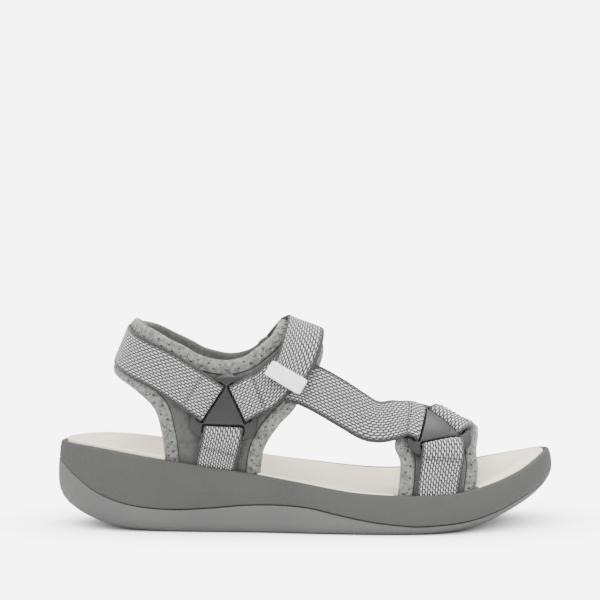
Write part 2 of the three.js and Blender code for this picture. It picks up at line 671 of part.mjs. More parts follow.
add('footbed_cover', withSlots(makeCover(), PAST_EDGE), 'bed');

for (const [band, rows, steps] of [['collar', collarRows, 54], ['vamp', vampRows, 20]]) {
  add(`${band}_lining`, bandSolid(rows, LAYER.lining, steps), 'knit');
  add(`${band}_foam`, bandSolid(rows, LAYER.foam, steps, 1), 'foam');
  add(`${band}_shell`, bandSolid(rows, LAYER.shell, steps), 'knit');
}

add('ankle_ring', trianglePlate(ankleRing, ANKLE_TURN), 'ring');
add('front_ring', trianglePlate(frontRing, FRONT_TURN), 'ring');
const TAIL = 11;
const SHORT_TAIL = 8;
const ankleFold = (slot) => ankleRing.polar(ANKLE_TURN + 120 * slot, FOLD_AT);
const frontFold = (slot) => frontRing.polar(FRONT_TURN + 120 * slot, FOLD_AT);
add('heel_web', foldedWeb(heelWebPath, ankleFold(1), TAIL), 'web');
add('ankle_anchor_web', foldedWeb(ankleAnchorPath, ankleFold(2), TAIL), 'web');
add('loop_web', foldedWeb(loopWebPath, ankleFold(0), TAIL, SECOND), 'web');
add('front_anchor_web', foldedWeb(frontAnchorPath, frontFold(2), SHORT_TAIL), 'web');
add('instep_web', foldedWeb(instepWebPath, frontFold(1), SHORT_TAIL), 'web');
add('vamp_web', foldedWeb(vampWebPath, frontFold(0), SHORT_TAIL), 'web');

function makeMedialRing() {
  const { halfLength, halfHeight, corner: r, openLength, openHeight } = MEDIAL_RING;
  const shape = new THREE.Shape();
  const cx = halfLength - r;
  const cy = halfHeight - r;
  shape.absarc(cx, cy, r, 0, Math.PI / 2, false);
  shape.absarc(-cx, cy, r, Math.PI / 2, Math.PI, false);
  shape.absarc(-cx, -cy, r, Math.PI, 1.5 * Math.PI, false);
  shape.absarc(cx, -cy, r, 1.5 * Math.PI, 2 * Math.PI, false);
  shape.closePath();
  shape.holes.push(new THREE.Path([
    ...SLOT_SPLITS.map((k) => new THREE.Vector2(k * openLength, -openHeight)),
    ...SLOT_SPLITS.toReversed().map((k) => new THREE.Vector2(k * openLength, openHeight))]));
  return plateSolid(medialRing, shape, MEDIAL_BAR, MEDIAL_TURN);
}
add('medial_ring', makeMedialRing(), 'ring');
add('medial_anchor_web', foldedWeb(medialAnchorPath, medialUp(-MEDIAL_FOLD), SHORT_TAIL), 'web');

// The strap folds round the ring's upper bar, and its tail is sewn under it.
const closureFold = closurePath.nearest(medialUp(MEDIAL_FOLD));
const strapTurn = (line) => line.map(([s, h]) => [2 * closureFold - s, h]).reverse();
add('closure_upper', webSolid(closurePath, [
  ...strapTurn(foldLine(closureFold, SHORT_TAIL)),
  ...runLine(closureFold, closureHinge - HINGE_GAP, (s) => foldedHeight(s - closureFold, SHORT_TAIL, ON_FLAP)),
], WEB_WIDTH, WEB, 3), 'web');
const tabFrom = closurePath.length - 7;
add('closure_end', webSolid(closurePath, runLine(closureHinge + HINGE_GAP, closurePath.length, closureHeight)), 'web');
const HOOK = 0.7;
const hookMiddle = (s) => closureHeight(s) - WEB / 2 - 2 * GAP - HOOK / 2;
add('hook_patch', webSolid(
  closurePath, runLine(closureHinge + 27, closurePath.length - 2, hookMiddle), WEB_WIDTH - 3, HOOK), 'hook');
add('pull_tab', webSolid(
  closurePath, runLine(tabFrom, closurePath.length, (s) => closureHeight(s) + WEB / 2 + GAP + 0.7),
  WEB_WIDTH + 2, 1.4), 'tab');

export default sandal;
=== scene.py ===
"""Strappy sport sandal, right foot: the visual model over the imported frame.

Work is in millimetres in the row frame (+X toe, +Y inner side, +Z up); meshes are written in metres.
The sole is lofted in rings, and every fabric piece is laid over one foot form, the last.
"""
import math

import bmesh
import bpy
import numpy as np
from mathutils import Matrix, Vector, kdtree
from mathutils.geometry import delaunay_2d_cdt


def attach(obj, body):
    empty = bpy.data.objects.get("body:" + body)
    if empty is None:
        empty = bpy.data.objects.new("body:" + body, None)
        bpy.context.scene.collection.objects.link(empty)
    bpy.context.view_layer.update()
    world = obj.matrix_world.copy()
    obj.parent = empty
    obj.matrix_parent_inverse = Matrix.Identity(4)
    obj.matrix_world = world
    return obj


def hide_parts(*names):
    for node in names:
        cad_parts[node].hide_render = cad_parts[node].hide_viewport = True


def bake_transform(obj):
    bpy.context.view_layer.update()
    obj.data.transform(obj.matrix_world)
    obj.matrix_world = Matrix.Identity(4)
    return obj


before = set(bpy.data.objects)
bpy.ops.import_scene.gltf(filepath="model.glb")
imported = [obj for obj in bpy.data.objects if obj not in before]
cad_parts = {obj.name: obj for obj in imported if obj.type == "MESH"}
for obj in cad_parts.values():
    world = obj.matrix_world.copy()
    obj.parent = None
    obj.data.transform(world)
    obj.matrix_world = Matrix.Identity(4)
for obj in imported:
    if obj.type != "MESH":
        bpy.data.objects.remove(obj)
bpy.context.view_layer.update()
ROOT = "upper_and_sole"
OUTER, INNER = -1, 1

# ---------- dimensions ----------
STATIONS = 280  # points round the sole
SEAT_DEPTH = 6.3  # footbed top down to its seat
BED_EDGE = 4.8  # footbed edge in from the outline
BED_THICK = 4.0  # footbed cover and foam together
SLOT_DEPTH = 8.5  # how far the uppers go down beside the footbed
WEB = 1.3  # webbing thickness
WEB_WIDTH = 21  # webbing width
UNDER, SECOND, OVER = 5.7, 7.3, 9.9  # heights of webbing: on padding, on webbing, over a bar
RING_LOW, RING_TOP = 6.9, 8.55  # ring plates, bottom and top height
PAD_MIDDLE = 2.45  # height of the padding's mid-plane
PAD_HALF = 2.3  # half the padding's thickness
ROLL = 2.4  # width of the rolled edge
SEAM = 7.4  # seam in from the free edge
SOLE_GAP = 0.3  # between outsole and midsole
CARVED_CREASE = 38  # degrees, edges left by a cut
EDGE_SAMPLES = 1600  # points along a padded band's edge
FOLD_HALF = 9.9  # half width of webbing gathered in a slot
SLOT_IN, SLOT_OUT, BAR_OUT = 6.3, 9.9, 13.0  # triangular ring, distances from its centre
SLOT_HALF, LOBE = 10.3, 7.5  # half a slot's length, radius of a ring's corner
SLOT_CORNER = 0.7
OBLONG, OBLONG_HOLE = (13.0, 7.5), (10.6, 5.3)  # half sizes of the inner ring and its opening
OBLONG_CORNER, HOLE_CORNER = 3.4, 0.9
TAIL, SHORT_TAIL = 11, 8  # how far a fold's tail lies under its web
HINGE_AT = 0.52  # share of the closing strap where its free end bends
HINGE_GAP = 0.4
BLEND_REACH = 7  # spots this far either side of the hinge are found on the strap, and not used further
ON_FLAP, CLOSED = 5.9, 10.7  # strap height on the flap, and over the loop web
BACKDROP = 7.0  # brightness of the white backdrop


# ---------- small mathematics ----------
def mix(a, b, k):
    return a + (b - a) * k


def clamp(k):
    return np.clip(k, 0, 1)


def ease(k):
    k = clamp(k)
    return k * k * (3 - 2 * k)


def unit(v):
    return v / np.linalg.norm(v, axis=-1, keepdims=True)


def run_along(points):
    """Distance run along a line, at each of its points."""
    return np.concatenate([[0], np.cumsum(np.linalg.norm(np.diff(points, axis=0), axis=1))])


def search_tree(points):
    tree = kdtree.KDTree(len(points))
    for i, q in enumerate(points):
        tree.insert(q, i)
    tree.balance()
    return tree


def through(*knots):
    """Smooth curve y(x) through (x, y) pairs, level beyond both ends."""
    xs, ys = np.array(knots, float).T
    slope = np.empty_like(ys)
    slope[1:-1] = (ys[2:] - ys[:-2]) / (xs[2:] - xs[:-2])
    slope[0] = (ys[1] - ys[0]) / (xs[1] - xs[0])
    slope[-1] = (ys[-1] - ys[-2]) / (xs[-1] - xs[-2])

    def at(x):
        x = np.clip(x, xs[0], xs[-1])
        i = np.clip(np.searchsorted(xs, x, side="right") - 1, 0, len(xs) - 2)
        w = xs[i + 1] - xs[i]
        k = (x - xs[i]) / w
        rise = (2 * k**3 - 3 * k**2 + 1) * ys[i] + (3 * k**2 - 2 * k**3) * ys[i + 1]
        return rise + (k**3 - 2 * k**2 + k) * w * slope[i] + (k**3 - k**2) * w * slope[i + 1]

    return at


def smooth_curve(points, t, closed=False):
    """Even Catmull-Rom curve through points, at parameters t from 0 to 1."""
    pts = np.array(points, float)
    if closed:
        pts = np.vstack([pts[-1:], pts, pts[:2]])
        count = len(points)
    else:
        pts = np.vstack([2 * pts[0] - pts[1], pts, 2 * pts[-1] - pts[-2]])
        count = len(points) - 1
    t = np.asarray(t, float)
    p = t * count
    i = np.clip(np.floor(p).astype(int), 0, count - 1)
    w = (p - i)[..., None]
    a, b, c, d = pts[i], pts[i + 1], pts[i + 2], pts[i + 3]
    t0 = (c - a) / 2
    t1 = (d - b) / 2
    return b + t0 * w + (-3 * b + 3 * c - 2 * t0 - t1) * w**2 + (2 * b - 2 * c + t0 + t1) * w**3


def ripple(p, size, seed=0.0):
    """Gentle unevenness from -1 to 1 over points, with waves of about the given size."""
    q = np.asarray(p) * (2 * math.pi / size)
    x, y, z = q[..., 0], q[..., 1], q[..., 2]
    a = np.sin(x + 1.7 * np.sin(0.61 * y + seed) + seed)
    b = np.sin(1.13 * y + 1.3 * np.sin(0.73 * z + 2 * seed) + 0.5)
    c = np.sin(0.93 * z + 1.1 * np.sin(0.57 * x + 3 * seed) + 1.9)
    return (a + b + c) / 3


# ---------- sole outline and heights ----------
OUTLINE = [
    (-128, 1), (-124, -12), (-112, -25), (-92, -32.3), (-60, -34.8), (-25, -37), (8, -42), (40, -45.3),
    (68, -43.8), (92, -35), (110, -21), (122, -4), (128, 15), (126, 28), (117, 37.5), (100, 43),
    (78, 45.3), (52, 41.7), (25, 34.7), (-5, 30.7), (-38, 31.7), (-72, 34.2), (-102, 30.7), (-121.5, 17)]
rim_outer = through(
    (-128, 43.4), (-110, 42.5), (-72, 36.6), (-26, 29.8), (-3, 25.9), (23, 21.5), (46, 20), (59, 20),
    (77, 20.8), (95, 24.4), (112, 29.8), (128, 37))
rim_inner = through(
    (-128, 43.4), (-110, 43.2), (-72, 39.5), (-26, 33), (-3, 29.8), (43, 24.5), (77, 26.5), (95, 29.5),
    (112, 33), (128, 37))
widest = through(
    (-128, 25.6), (-118, 20), (-105, 14), (-85, 9.5), (-60, 7), (50, 6), (75, 8), (95, 14), (112, 21),
    (128, 28))
roll_in = through(
    (-128, 62), (-118, 46), (-100, 22), (-80, 10), (-60, 6), (50, 6), (75, 12), (95, 26), (112, 42),
    (128, 57))
parting = through(
    (-128, 34.5), (-120, 28), (-107, 19.4), (-93, 14.3), (-80, 12.2), (-66, 11.5), (-49, 12.4), (-31, 14),
    (-13, 14.3), (2, 13), (14, 10.3), (32, 6.7), (50, 4.6), (57, 4.3), (77, 5.6), (90, 7.8), (103, 11.7),
    (112, 15.5), (128, 22))
bed_middle = through(
    (-128, 41), (-110, 37), (-72, 33.6), (-26, 27.6), (0, 24), (23, 20.2), (46, 17.8), (77, 18.8), (100, 24),
    (118, 31), (128, 36))
side_curve = through((-128, 2.7), (0, 2.4), (128, 1.8))
bed_lift = through((-128, 2), (-60, 1.6), (0, 0.6), (128, 0))
spine_y = through((-128, 0), (8, -5), (66, 1))

rim_point = smooth_curve(OUTLINE, np.arange(STATIONS) / STATIONS, closed=True)
spine = np.stack([np.clip(rim_point[:, 0], -62, 66), np.zeros(STATIONS)], 1)
spine[:, 1] = spine_y(spine[:, 0])
reach = np.linalg.norm(rim_point - spine, axis=1)
SX = rim_point[:, 0]
rim = mix(rim_outer(SX), rim_inner(SX), ease((rim_point[:, 1] + 20) / 50))
bed_edge = rim + bed_lift(SX)


def inward(distance, z):
    """Ring of points at a horizontal distance inwards from the outline, and a height."""
    k = np.minimum(1, distance / reach)[:, None]
    plan = rim_point + (spine - rim_point) * k
    return np.column_stack([plan, np.broadcast_to(z, STATIONS)])


def skin_inset(z):
    wide = widest(SX)
    m = side_curve(SX)
    low = roll_in(SX) * (1 - (1 - clamp(1 - z / wide) ** m) ** (1 / m))
    return np.where(z >= wide, 1.6 * ((z - wide) / (rim - wide)) ** 2, low)


def bed_top(distance):
    k = ease(distance / np.minimum(reach, 34))
    return mix(bed_edge, bed_middle(inward(distance, 0)[:, 0]), k)


def cup_face(share, lift):
    z = parting(SX)
    edge = skin_inset(z)
    return inward(mix(edge, reach, share), mix(z, np.minimum(z, 7), ease(share / 0.6)) + lift)


# ---------- the last: a smooth foot form ----------
form_middle = through((-90, 0), (-60, -0.5), (-25, -3), (8, -5), (40, -3.4), (68, 0.3), (92, 4.7))
form_half = through((-90, 22.6), (-60, 24.4), (-25, 24.5), (8, 27.5), (40, 32), (68, 34.3), (92, 29.7))
form_flare = through((-90, 6), (-25, 6), (8, 4.5), (40, 1.5), (68, 1))
form_ridge = through(
    (-60, 172), (-45, 152), (-32, 126), (-22, 110.5), (-14, 101.5), (6, 91.5), (20, 81), (35, 67.5),
    (50, 58.5), (65, 53.5), (85, 46), (100, 41))
form_heel = through((30, -105), (45, -104), (60, -101), (78, -96.5), (92, -91.5), (105, -86.8), (120, -82))
FORM_BASE, FORM_POWER, HEEL_TURN = 15, 2.5, -62


def form_shares(x, z):
    rim_level = 33 - 0.12 * (x + 60)
    half = form_half(x) + form_flare(x) * ease((z - rim_level) / 28)
    up = np.maximum(0, z - FORM_BASE) / (form_ridge(x) - FORM_BASE)
    back = np.maximum(0, HEEL_TURN - x) / (HEEL_TURN - form_heel(z))
    return half, up**FORM_POWER + back**FORM_POWER


def form_value(p):
    half, used = form_shares(p[..., 0], p[..., 2])
    return (np.abs(p[..., 1] - form_middle(p[..., 0])) / half) ** FORM_POWER + used - 1


def form_gradient(p):
    h = 0.05
    return np.stack([(form_value(p + d) - form_value(p - d)) / (2 * h) for d in np.eye(3) * h], -1)


def on_last(x, z, side):
    half, used = form_shares(np.float64(x), np.float64(z))
    return np.array([x, form_middle(x) + side * half * max(0.0, 1 - used) ** (1 / FORM_POWER), z])


def settle(p):
    """Nearest points of the last and its outward normals."""
    q = np.array(p, float)
    for _ in range(10):
        g = form_gradient(q)
        slope = np.linalg.norm(g, axis=-1)
        move = np.clip(form_value(q) / slope, -3, 3)
        q = q - g * (move / slope)[..., None]
    return q, unit(form_gradient(q))


def above(p, height):
    point, normal = settle(p)
    return point + normal * np.asarray(height)[..., None]


class Path:
    """A line laid on the last through points near it; place() gives points along, across and above it."""
    COUNT = 60

    def __init__(self, points):
        at = smooth_curve(points, np.arange(self.COUNT + 1) / self.COUNT)
        self.spots = settle(at)[0]
        self.run = run_along(self.spots)
        self.length = self.run[-1]

    def spot(self, s):
        i = np.clip(np.searchsorted(self.run, s, side="left") - 1, 0, self.COUNT - 1)
        k = (s - self.run[i]) / (self.run[i + 1] - self.run[i])
        return self.spots[i] + (self.spots[i + 1] - self.spots[i]) * np.asarray(k)[..., None]

    def smooth_spot(self, s):
        return sum(self.spot(s + d) for d in (-2.4, -1.2, 0, 1.2, 2.4)) / 5

    def place(self, s, across, height):
        s, across, height = np.broadcast_arrays(np.asarray(s, float), across, height)
        here, normal = settle(self.smooth_spot(s))
        tangent = unit(self.smooth_spot(s + 3) - self.smooth_spot(s - 3))
        sideways = unit(np.cross(normal, tangent))
        return above(here + sideways * across[..., None], height)

    def nearest(self, point):
        target = settle(point)[0]
        s = np.arange(0, self.length, 0.25)
        return s[np.argmin(np.linalg.norm(self.spot(s) - target, axis=1))]


# ---------- mesh making ----------
def into_scene(ob):
    bpy.context.scene.collection.objects.link(ob)


def piece(name, verts, faces, material, attributes=None, body=ROOT, crease=None):
    """One closed smooth mesh, from millimetres, riding on a body."""
    me = bpy.data.meshes.new(name)
    me.from_pydata((np.asarray(verts, float) / 1000).tolist(), [], [tuple(map(int, f)) for f in faces])
    for key, values in (attributes or {}).items():
        data = me.attributes.new(key, "FLOAT_VECTOR", "POINT").data
        data.foreach_set("vector", np.asarray(values, np.float32).ravel())
    bm = bmesh.new()
    bm.from_mesh(me)
    bmesh.ops.recalc_face_normals(bm, faces=bm.faces)
    bm.to_mesh(me)
    bm.free()
    me.materials.append(material)
    me.shade_smooth()
    if crease:
        me.set_sharp_from_angle(angle=math.radians(crease))
    ob = bpy.data.objects.new(name, me)
    into_scene(ob)
    if body:
        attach(ob, body)
    return ob


def loft(rings):
    """Vertices and faces of a loft of station rings, both ends zipped across the middle."""
    n = STATIONS
    verts = np.concatenate(rings)
    a = np.arange(n)
    b = (a + 1) % n
    faces = [np.column_stack([a + r * n, b + r * n, b + (r + 1) * n, a + (r + 1) * n])
             for r in range(len(rings) - 1)]
    faces = [tuple(f) for f in np.concatenate(faces)]
    for base, flip in ((0, True), ((len(rings) - 1) * n, False)):
        for i in range(n // 2):
            c = [base + i, base + i + 1, base + (n - i - 1) % n, base + (n - i) % n]
            c = list(dict.fromkeys(c))
            if len(c) > 2:
                faces.append(tuple(reversed(c)) if flip else tuple(c))
    return verts, faces


def tube(loops):
    """Vertices and faces of a closed sweep of equal loops, shape (along, round, 3)."""
    n, m = loops.shape[:2]
    i, j = np.meshgrid(np.arange(n - 1), np.arange(m), indexing="ij")
    k = (j + 1) % m
    quads = np.stack([i * m + j, i * m + k, (i + 1) * m + k, (i + 1) * m + j], -1).reshape(-1, 4)
    ends = [tuple(range(m))[::-1], tuple((n - 1) * m + q for q in range(m))]
    return loops.reshape(-1, 3), [tuple(q) for q in quads] + ends


def join(parts):
    """Vertices and faces of several meshes as one."""
    verts, faces = [], []
    for v, f in parts:
        faces += [tuple(i + len(verts) for i in q) for q in f]
        verts += v.tolist()
    return verts, faces


def carve(ob, cutters):
    """Cuts the cutter meshes out of a piece, and leaves plain geometry."""
    for verts, faces in cutters:
        tool = piece("cutter", verts, faces, ob.data.materials[0], body=None)
        mod = ob.modifiers.new("cut", "BOOLEAN")
        mod.operation, mod.solver, mod.object = "DIFFERENCE", "EXACT", tool
        bpy.context.view_layer.update()
        cut = bpy.data.meshes.new_from_object(ob.evaluated_get(bpy.context.evaluated_depsgraph_get()))
        ob.modifiers.clear()
        old, ob.data = ob.data, cut
        bpy.data.meshes.remove(old)
        bpy.data.objects.remove(tool)
    ob.data.shade_smooth()
    ob.data.set_sharp_from_angle(angle=math.radians(CARVED_CREASE))


# ---------- materials ----------
class Paint:
    """A small builder for one procedural material."""

    def __init__(self, name, roughness, **constants):
        self.material = bpy.data.materials.new(name)
        self.material.use_nodes = True
        self.tree = self.material.node_tree
        self.tree.nodes.clear()
        out = self.tree.nodes.new("ShaderNodeOutputMaterial")
        self.bsdf = self.tree.nodes.new("ShaderNodeBsdfPrincipled")
        self.tree.links.new(self.bsdf.outputs[0], out.inputs[0])
        self.put(self.bsdf, "Roughness", roughness)
        for key, value in constants.items():
            self.put(self.bsdf, key.replace("_", " "), value)

    def put(self, node, key, value):
        socket = node.inputs[key]
        if isinstance(value, bpy.types.NodeSocket):
            self.tree.links.new(value, socket)
        elif isinstance(value, tuple) and socket.type == "RGBA":
            socket.default_value = (*value, 1)
        else:
            socket.default_value = value

    def add(self, kind, inputs=(), output=0, **settings):
        node = self.tree.nodes.new("ShaderNode" + kind)
        for key, value in settings.items():
            setattr(node, key, value)
        for key, value in dict(inputs).items():
            self.put(node, key, value)
        return node.outputs[output]

    def sum(self, operation, a, b=0.0):
        return self.add("Math", {0: a, 1: b}, operation=operation)

    def plus(self, a, b):
        return self.sum("ADD", a, b)

    def minus(self, a, b):
        return self.sum("SUBTRACT", a, b)

    def times(self, a, b):
        return self.sum("MULTIPLY", a, b)

    def size(self, a):
        return self.sum("ABSOLUTE", a)

    def step(self, value, low, high):
        """0 below low to 1 above high, or the other way round where low is the larger."""
        return self.add("MapRange", {"Value": value, "From Min": low, "From Max": high},
                        interpolation_type="SMOOTHSTEP")

    def blend(self, factor, a, b):
        node = self.tree.nodes.new("ShaderNodeMix")
        node.data_type = "RGBA"
        self.put(node, 0, factor)
        self.put(node, 6, a)
        self.put(node, 7, b)
        return node.outputs[2]

    def noise(self, size, detail=3.0, roughness=0.55):
        """Noise whose grains are about the given size in millimetres, on the piece's own coordinates."""
        where = self.add("TexCoord", output=3)
        return self.add("TexNoise", {"Vector": where, "Scale": 1000 / size, "Detail": detail,
                                     "Roughness": roughness})

    def cells(self, size):
        where = self.add("TexCoord", output=3)
        return self.add("TexVoronoi", {"Vector": where, "Scale": 1000 / size})

    def parts(self, name):
        node = self.tree.nodes.new("ShaderNodeSeparateXYZ")
        self.put(node, 0, self.add("Attribute", output=1, attribute_name=name))
        return node.outputs[0], node.outputs[1], node.outputs[2]

    def spot(self, value, period, shift=0.0):
        """Signed distance in millimetres to the middle of the nearest cell of a repeated pattern."""
        k = self.sum("FRACT", self.plus(self.sum("DIVIDE", value, period), shift))
        return self.times(self.minus(k, 0.5), period)

    def close(self, colour, height, depth):
        """Sets the colour and the bump, whose full height is depth millimetres."""
        self.put(self.bsdf, "Base Color", colour)
        bump = self.add("Bump", {"Height": height, "Distance": depth / 1000, "Strength": 1.0})
        self.put(self.bsdf, "Normal", bump)
        return self.material


def moulded(name, dark, light, roughness, grain, depth, **constants):
    """Moulded rubber, foam or plastic: faint mottling and a fine grain."""
    p = Paint(name, 0.5, **constants)
    cloud = p.noise(38, 2.0)
    fine = p.noise(grain, 2.0)
    p.put(p.bsdf, "Roughness", p.add("MapRange", {
        "Value": fine, "From Min": 0.3, "From Max": 0.7,
        "To Min": roughness - 0.06, "To Max": roughness + 0.06}))
    return p.close(p.blend(p.step(cloud, 0.3, 0.7), dark, light), fine, depth)


def suede(name):
    p = Paint(name, 0.93, Sheen_Weight=0.5, Sheen_Roughness=0.5, Specular_IOR_Level=0.2)
    cloud = p.noise(24, 4.0)
    nap = p.noise(1.1, 4.0, 0.7)
    colour = p.blend(p.step(cloud, 0.3, 0.7), (0.90, 0.77, 0.58), (0.95, 0.84, 0.67))
    colour = p.blend(p.times(p.step(nap, 0.5, 0.8), 0.18), colour, (0.80, 0.64, 0.45))
    return p.close(colour, nap, 0.22)


def padding(name):
    """Stretch fabric over foam: fine knit, a dark seam, and a sewn border with pricked holes."""
    p = Paint(name, 0.88, Sheen_Weight=0.35, Sheen_Roughness=0.45, Specular_IOR_Level=0.25)
    edge, along, side = p.parts("border")
    knit = p.cells(0.62)
    fuzz = p.noise(3.2, 4.0)
    base = p.blend(p.step(fuzz, 0.3, 0.7), (0.055, 0.056, 0.053), (0.080, 0.081, 0.077))
    border = p.times(p.step(edge, SEAM, SEAM - 0.5), p.step(side, -0.1, 0.1))
    tufts = p.noise(2.4, 2.0)
    pale = p.blend(p.step(tufts, 0.35, 0.65), (0.115, 0.117, 0.110), (0.24, 0.243, 0.228))
    colour = p.blend(p.times(border, 0.8), base, pale)
    seam = p.step(p.size(p.minus(edge, SEAM)), 0.55, 0.15)
    holes = None
    for row, shift in ((2.6, 0.0), (5.0, 0.5)):
        a = p.spot(along, 5.2, shift)
        b = p.minus(edge, row)
        r = p.sum("SQRT", p.plus(p.times(a, a), p.times(b, b)))
        mark = p.step(r, 0.75, 0.3)
        holes = mark if holes is None else p.sum("MAXIMUM", holes, mark)
    pricks = p.times(holes, border)
    seam = p.times(seam, p.step(side, -0.1, 0.1))
    colour = p.blend(p.times(p.sum("MAXIMUM", seam, pricks), 0.8), colour, (0.018, 0.018, 0.018))
    height = p.times(knit, 0.3)
    height = p.plus(height, p.times(p.times(tufts, border), 0.5))
    height = p.minus(height, p.sum("MAXIMUM", seam, pricks))
    return p.close(colour, height, 0.4)


def webbing(name, width, painted_shade_back=False):
    """Woven webbing: grey ground with raised pale pips in half-drop columns, and plain selvedges."""
    p = Paint(name, 0.8, Sheen_Weight=0.25, Sheen_Roughness=0.4, Specular_IOR_Level=0.3)
    along, across, side = p.parts("lay")
    pitch, period = 1.22, 2.4
    column = p.sum("FLOOR", p.sum("DIVIDE", across, pitch))
    cell = p.plus(p.sum("DIVIDE", along, period), p.times(column, 0.5))
    a = p.times(p.minus(p.sum("FRACT", cell), 0.5), period / 1.28)
    b = p.sum("DIVIDE", p.spot(across, pitch), 0.48)
    b = p.minus(b, p.times(a, 0.22))
    r = p.plus(p.times(a, a), p.times(b, b))
    pip = p.step(r, 0.85, 0.25)
    inner = p.step(p.size(across), width / 2 - 1.35, width / 2 - 1.75)
    pip = p.times(pip, inner)
    line = p.step(p.size(p.minus(p.size(across), width / 2 - 1.4)), 0.3, 0.1)
    rib = p.step(p.size(p.spot(along, 0.8)), 0.1, 0.35)
    cord = p.step(p.size(p.spot(across, 0.72)), 0.08, 0.3)
    fibre = p.noise(0.55, 3.0, 0.7)
    ground = p.blend(rib, (0.022, 0.022, 0.024), (0.062, 0.062, 0.065))
    edge = p.blend(p.times(rib, cord), (0.026, 0.027, 0.026), (0.066, 0.067, 0.065))
    colour = p.blend(inner, edge, ground)
    colour = p.blend(p.times(line, 0.7), colour, (0.02, 0.02, 0.021))
    thread = p.blend(p.step(fibre, 0.35, 0.7), (0.42, 0.42, 0.425), (0.76, 0.76, 0.765))
    colour = p.blend(pip, colour, thread)
    # Painted shade: the underside of the strap is coloured darker, for the shadow under the strap where it
    # arches over the instep.
    if painted_shade_back:
        back = p.step(side, 0.1, -0.1)
        colour = p.blend(p.times(back, 0.85), colour, (0.05, 0.05, 0.052))
    height = p.plus(p.times(pip, 0.75), p.times(rib, 0.18))
    height = p.plus(height, p.times(fibre, 0.15))
    return p.close(colour, height, 0.42)


def hooked(name):
    p = Paint(name, 0.75, Sheen_Weight=0.2, Specular_IOR_Level=0.35)
    along, across, _ = p.parts("lay")
    a, b = p.spot(along, 1.3), p.spot(across, 1.3)
    r = p.plus(p.times(a, a), p.times(b, b))
    bead = p.step(r, 0.3, 0.05)
    return p.close(p.blend(bead, (0.028, 0.028, 0.03), (0.09, 0.09, 0.095)), bead, 0.5)


def thread(name, colour):
    p = Paint(name, 0.6, Sheen_Weight=0.2, Specular_IOR_Level=0.4)
    ply = p.noise(0.5, 2.0)
    dark = tuple(0.7 * c for c in colour)
    return p.close(p.blend(p.step(ply, 0.35, 0.65), dark, colour), ply, 0.12)


OUTSOLE = moulded("outsole_rubber", (0.094, 0.096, 0.093), (0.104, 0.106, 0.102), 0.68, 0.5, 0.05,
                  Specular_IOR_Level=0.35)
MIDSOLE = moulded("midsole_foam", (0.058, 0.060, 0.056), (0.065, 0.067, 0.063), 0.78, 0.8, 0.06,
                  Specular_IOR_Level=0.3)
PLASTIC = moulded("ring_plastic", (0.008, 0.008, 0.0085), (0.012, 0.012, 0.0125), 0.45, 0.35, 0.02)
TAB = moulded("tab_rubber", (0.92, 0.905, 0.87), (0.95, 0.94, 0.915), 0.6, 0.6, 0.03)
BOARD = moulded("board", (0.34, 0.28, 0.2), (0.42, 0.35, 0.26), 0.85, 1.2, 0.1)
SUEDE = suede("footbed_suede")
PAD = padding("pad_fabric")
WEBBING = webbing("webbing", WEB_WIDTH)
# The closing strap's underside carries painted shade.
STRAP = webbing("strap_webbing", WEB_WIDTH, painted_shade_back=True)
HOOKS = hooked("hook_tape")
DARK_THREAD = thread("dark_thread", (0.03, 0.03, 0.031))
PALE_THREAD = thread("pale_thread", (0.24, 0.243, 0.23))

# ---------- sole ----------
def make_outsole():
    part = parting(SX)
    base = roll_in(SX)
    rings = [inward(mix(base + 3.4, reach, k), 1.6) for k in (0.75, 0.5, 0.25, 0)]
    rings += [inward(base + inset, z) for inset, z in ((2.9, 1.5), (2.6, 1.0), (2.4, 0.2), (2.0, 0))]
    for k in (0, 0.004, 0.012, 0.03, 0.06, 0.1, 0.16, 0.24, 0.33, 0.43, 0.54, 0.65, 0.76, 0.86, 0.93):
        rings.append(inward(skin_inset(part * k), part * k))
    for down, inset in ((0.9, 0), (0.45, 0.06), (0.15, 0.32), (0, 0.8)):
        rings.append(inward(skin_inset(part - down) + inset, part - down))
    rings += [cup_face(share, 0) for share in (0.06, 0.2, 0.4, 0.7)]
    ob = piece("tread_and_cup", *loft(rings), OUTSOLE, crease=50)
    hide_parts("outsole")


def crossings(ring, x):
    """Lowest and highest Y where a ring crosses a plane of constant X."""
    a, b = ring, np.roll(ring, -1, axis=0)
    hit = (a[:, 0] - x) * (b[:, 0] - x) <= 0
    a, b = a[hit], b[hit]
    k = (x - a[:, 0]) / np.where(b[:, 0] == a[:, 0], 1, b[:, 0] - a[:, 0])
    y = a[:, 1] + (b[:, 1] - a[:, 1]) * k
    return y.min(), y.max()


def make_lugs():
    """Wavy cross bars on the flat of the tread."""
    ring = inward(roll_in(SX) + 4.4, 0)
    bars = []
    flank = [(-2.7, 1.9), (-2.7, 0.5), (-2.45, 0.12), (-2.0, 0)]
    profile = flank + [(-w, z) for w, z in flank[::-1]]
    for x in np.arange(-72, 74, 8.2):
        low, high = crossings(ring, x)
        if high - low < 8:
            continue
        y = np.linspace(low, high, 40)
        centre = x + 2.3 * np.sin(y / 4.6)
        lean = np.gradient(centre, y)
        size = np.hypot(1, lean)
        loops = np.stack([np.column_stack([centre + w / size, y - w * lean / size, np.full(40, z)])
                          for w, z in profile], 1)
        bars.append(tube(loops))
    ob = piece("tread_bars", *join(bars), OUTSOLE, crease=40)


def band_lines(rows, t):
    """Lower and upper edge of a band given as rows of [lower point, upper point]."""
    return smooth_curve([r[0] for r in rows], t), smooth_curve([r[1] for r in rows], t)


def band_shell(rows, heights, along, across):
    """Closed plain solid between two heights over a band, used to cut slots."""
    low, high = band_lines(rows, np.linspace(0, 1, along))
    v = np.linspace(0, 1, across)
    grid = low[:, None] + (high - low)[:, None] * v[None, :, None]
    bottom, top = (above(grid, h) for h in heights)
    return tube(np.concatenate([bottom, top[:, ::-1]], 1))


def rim_at(x, side):
    return float(rim_outer(x) if side == OUTER else rim_inner(x))


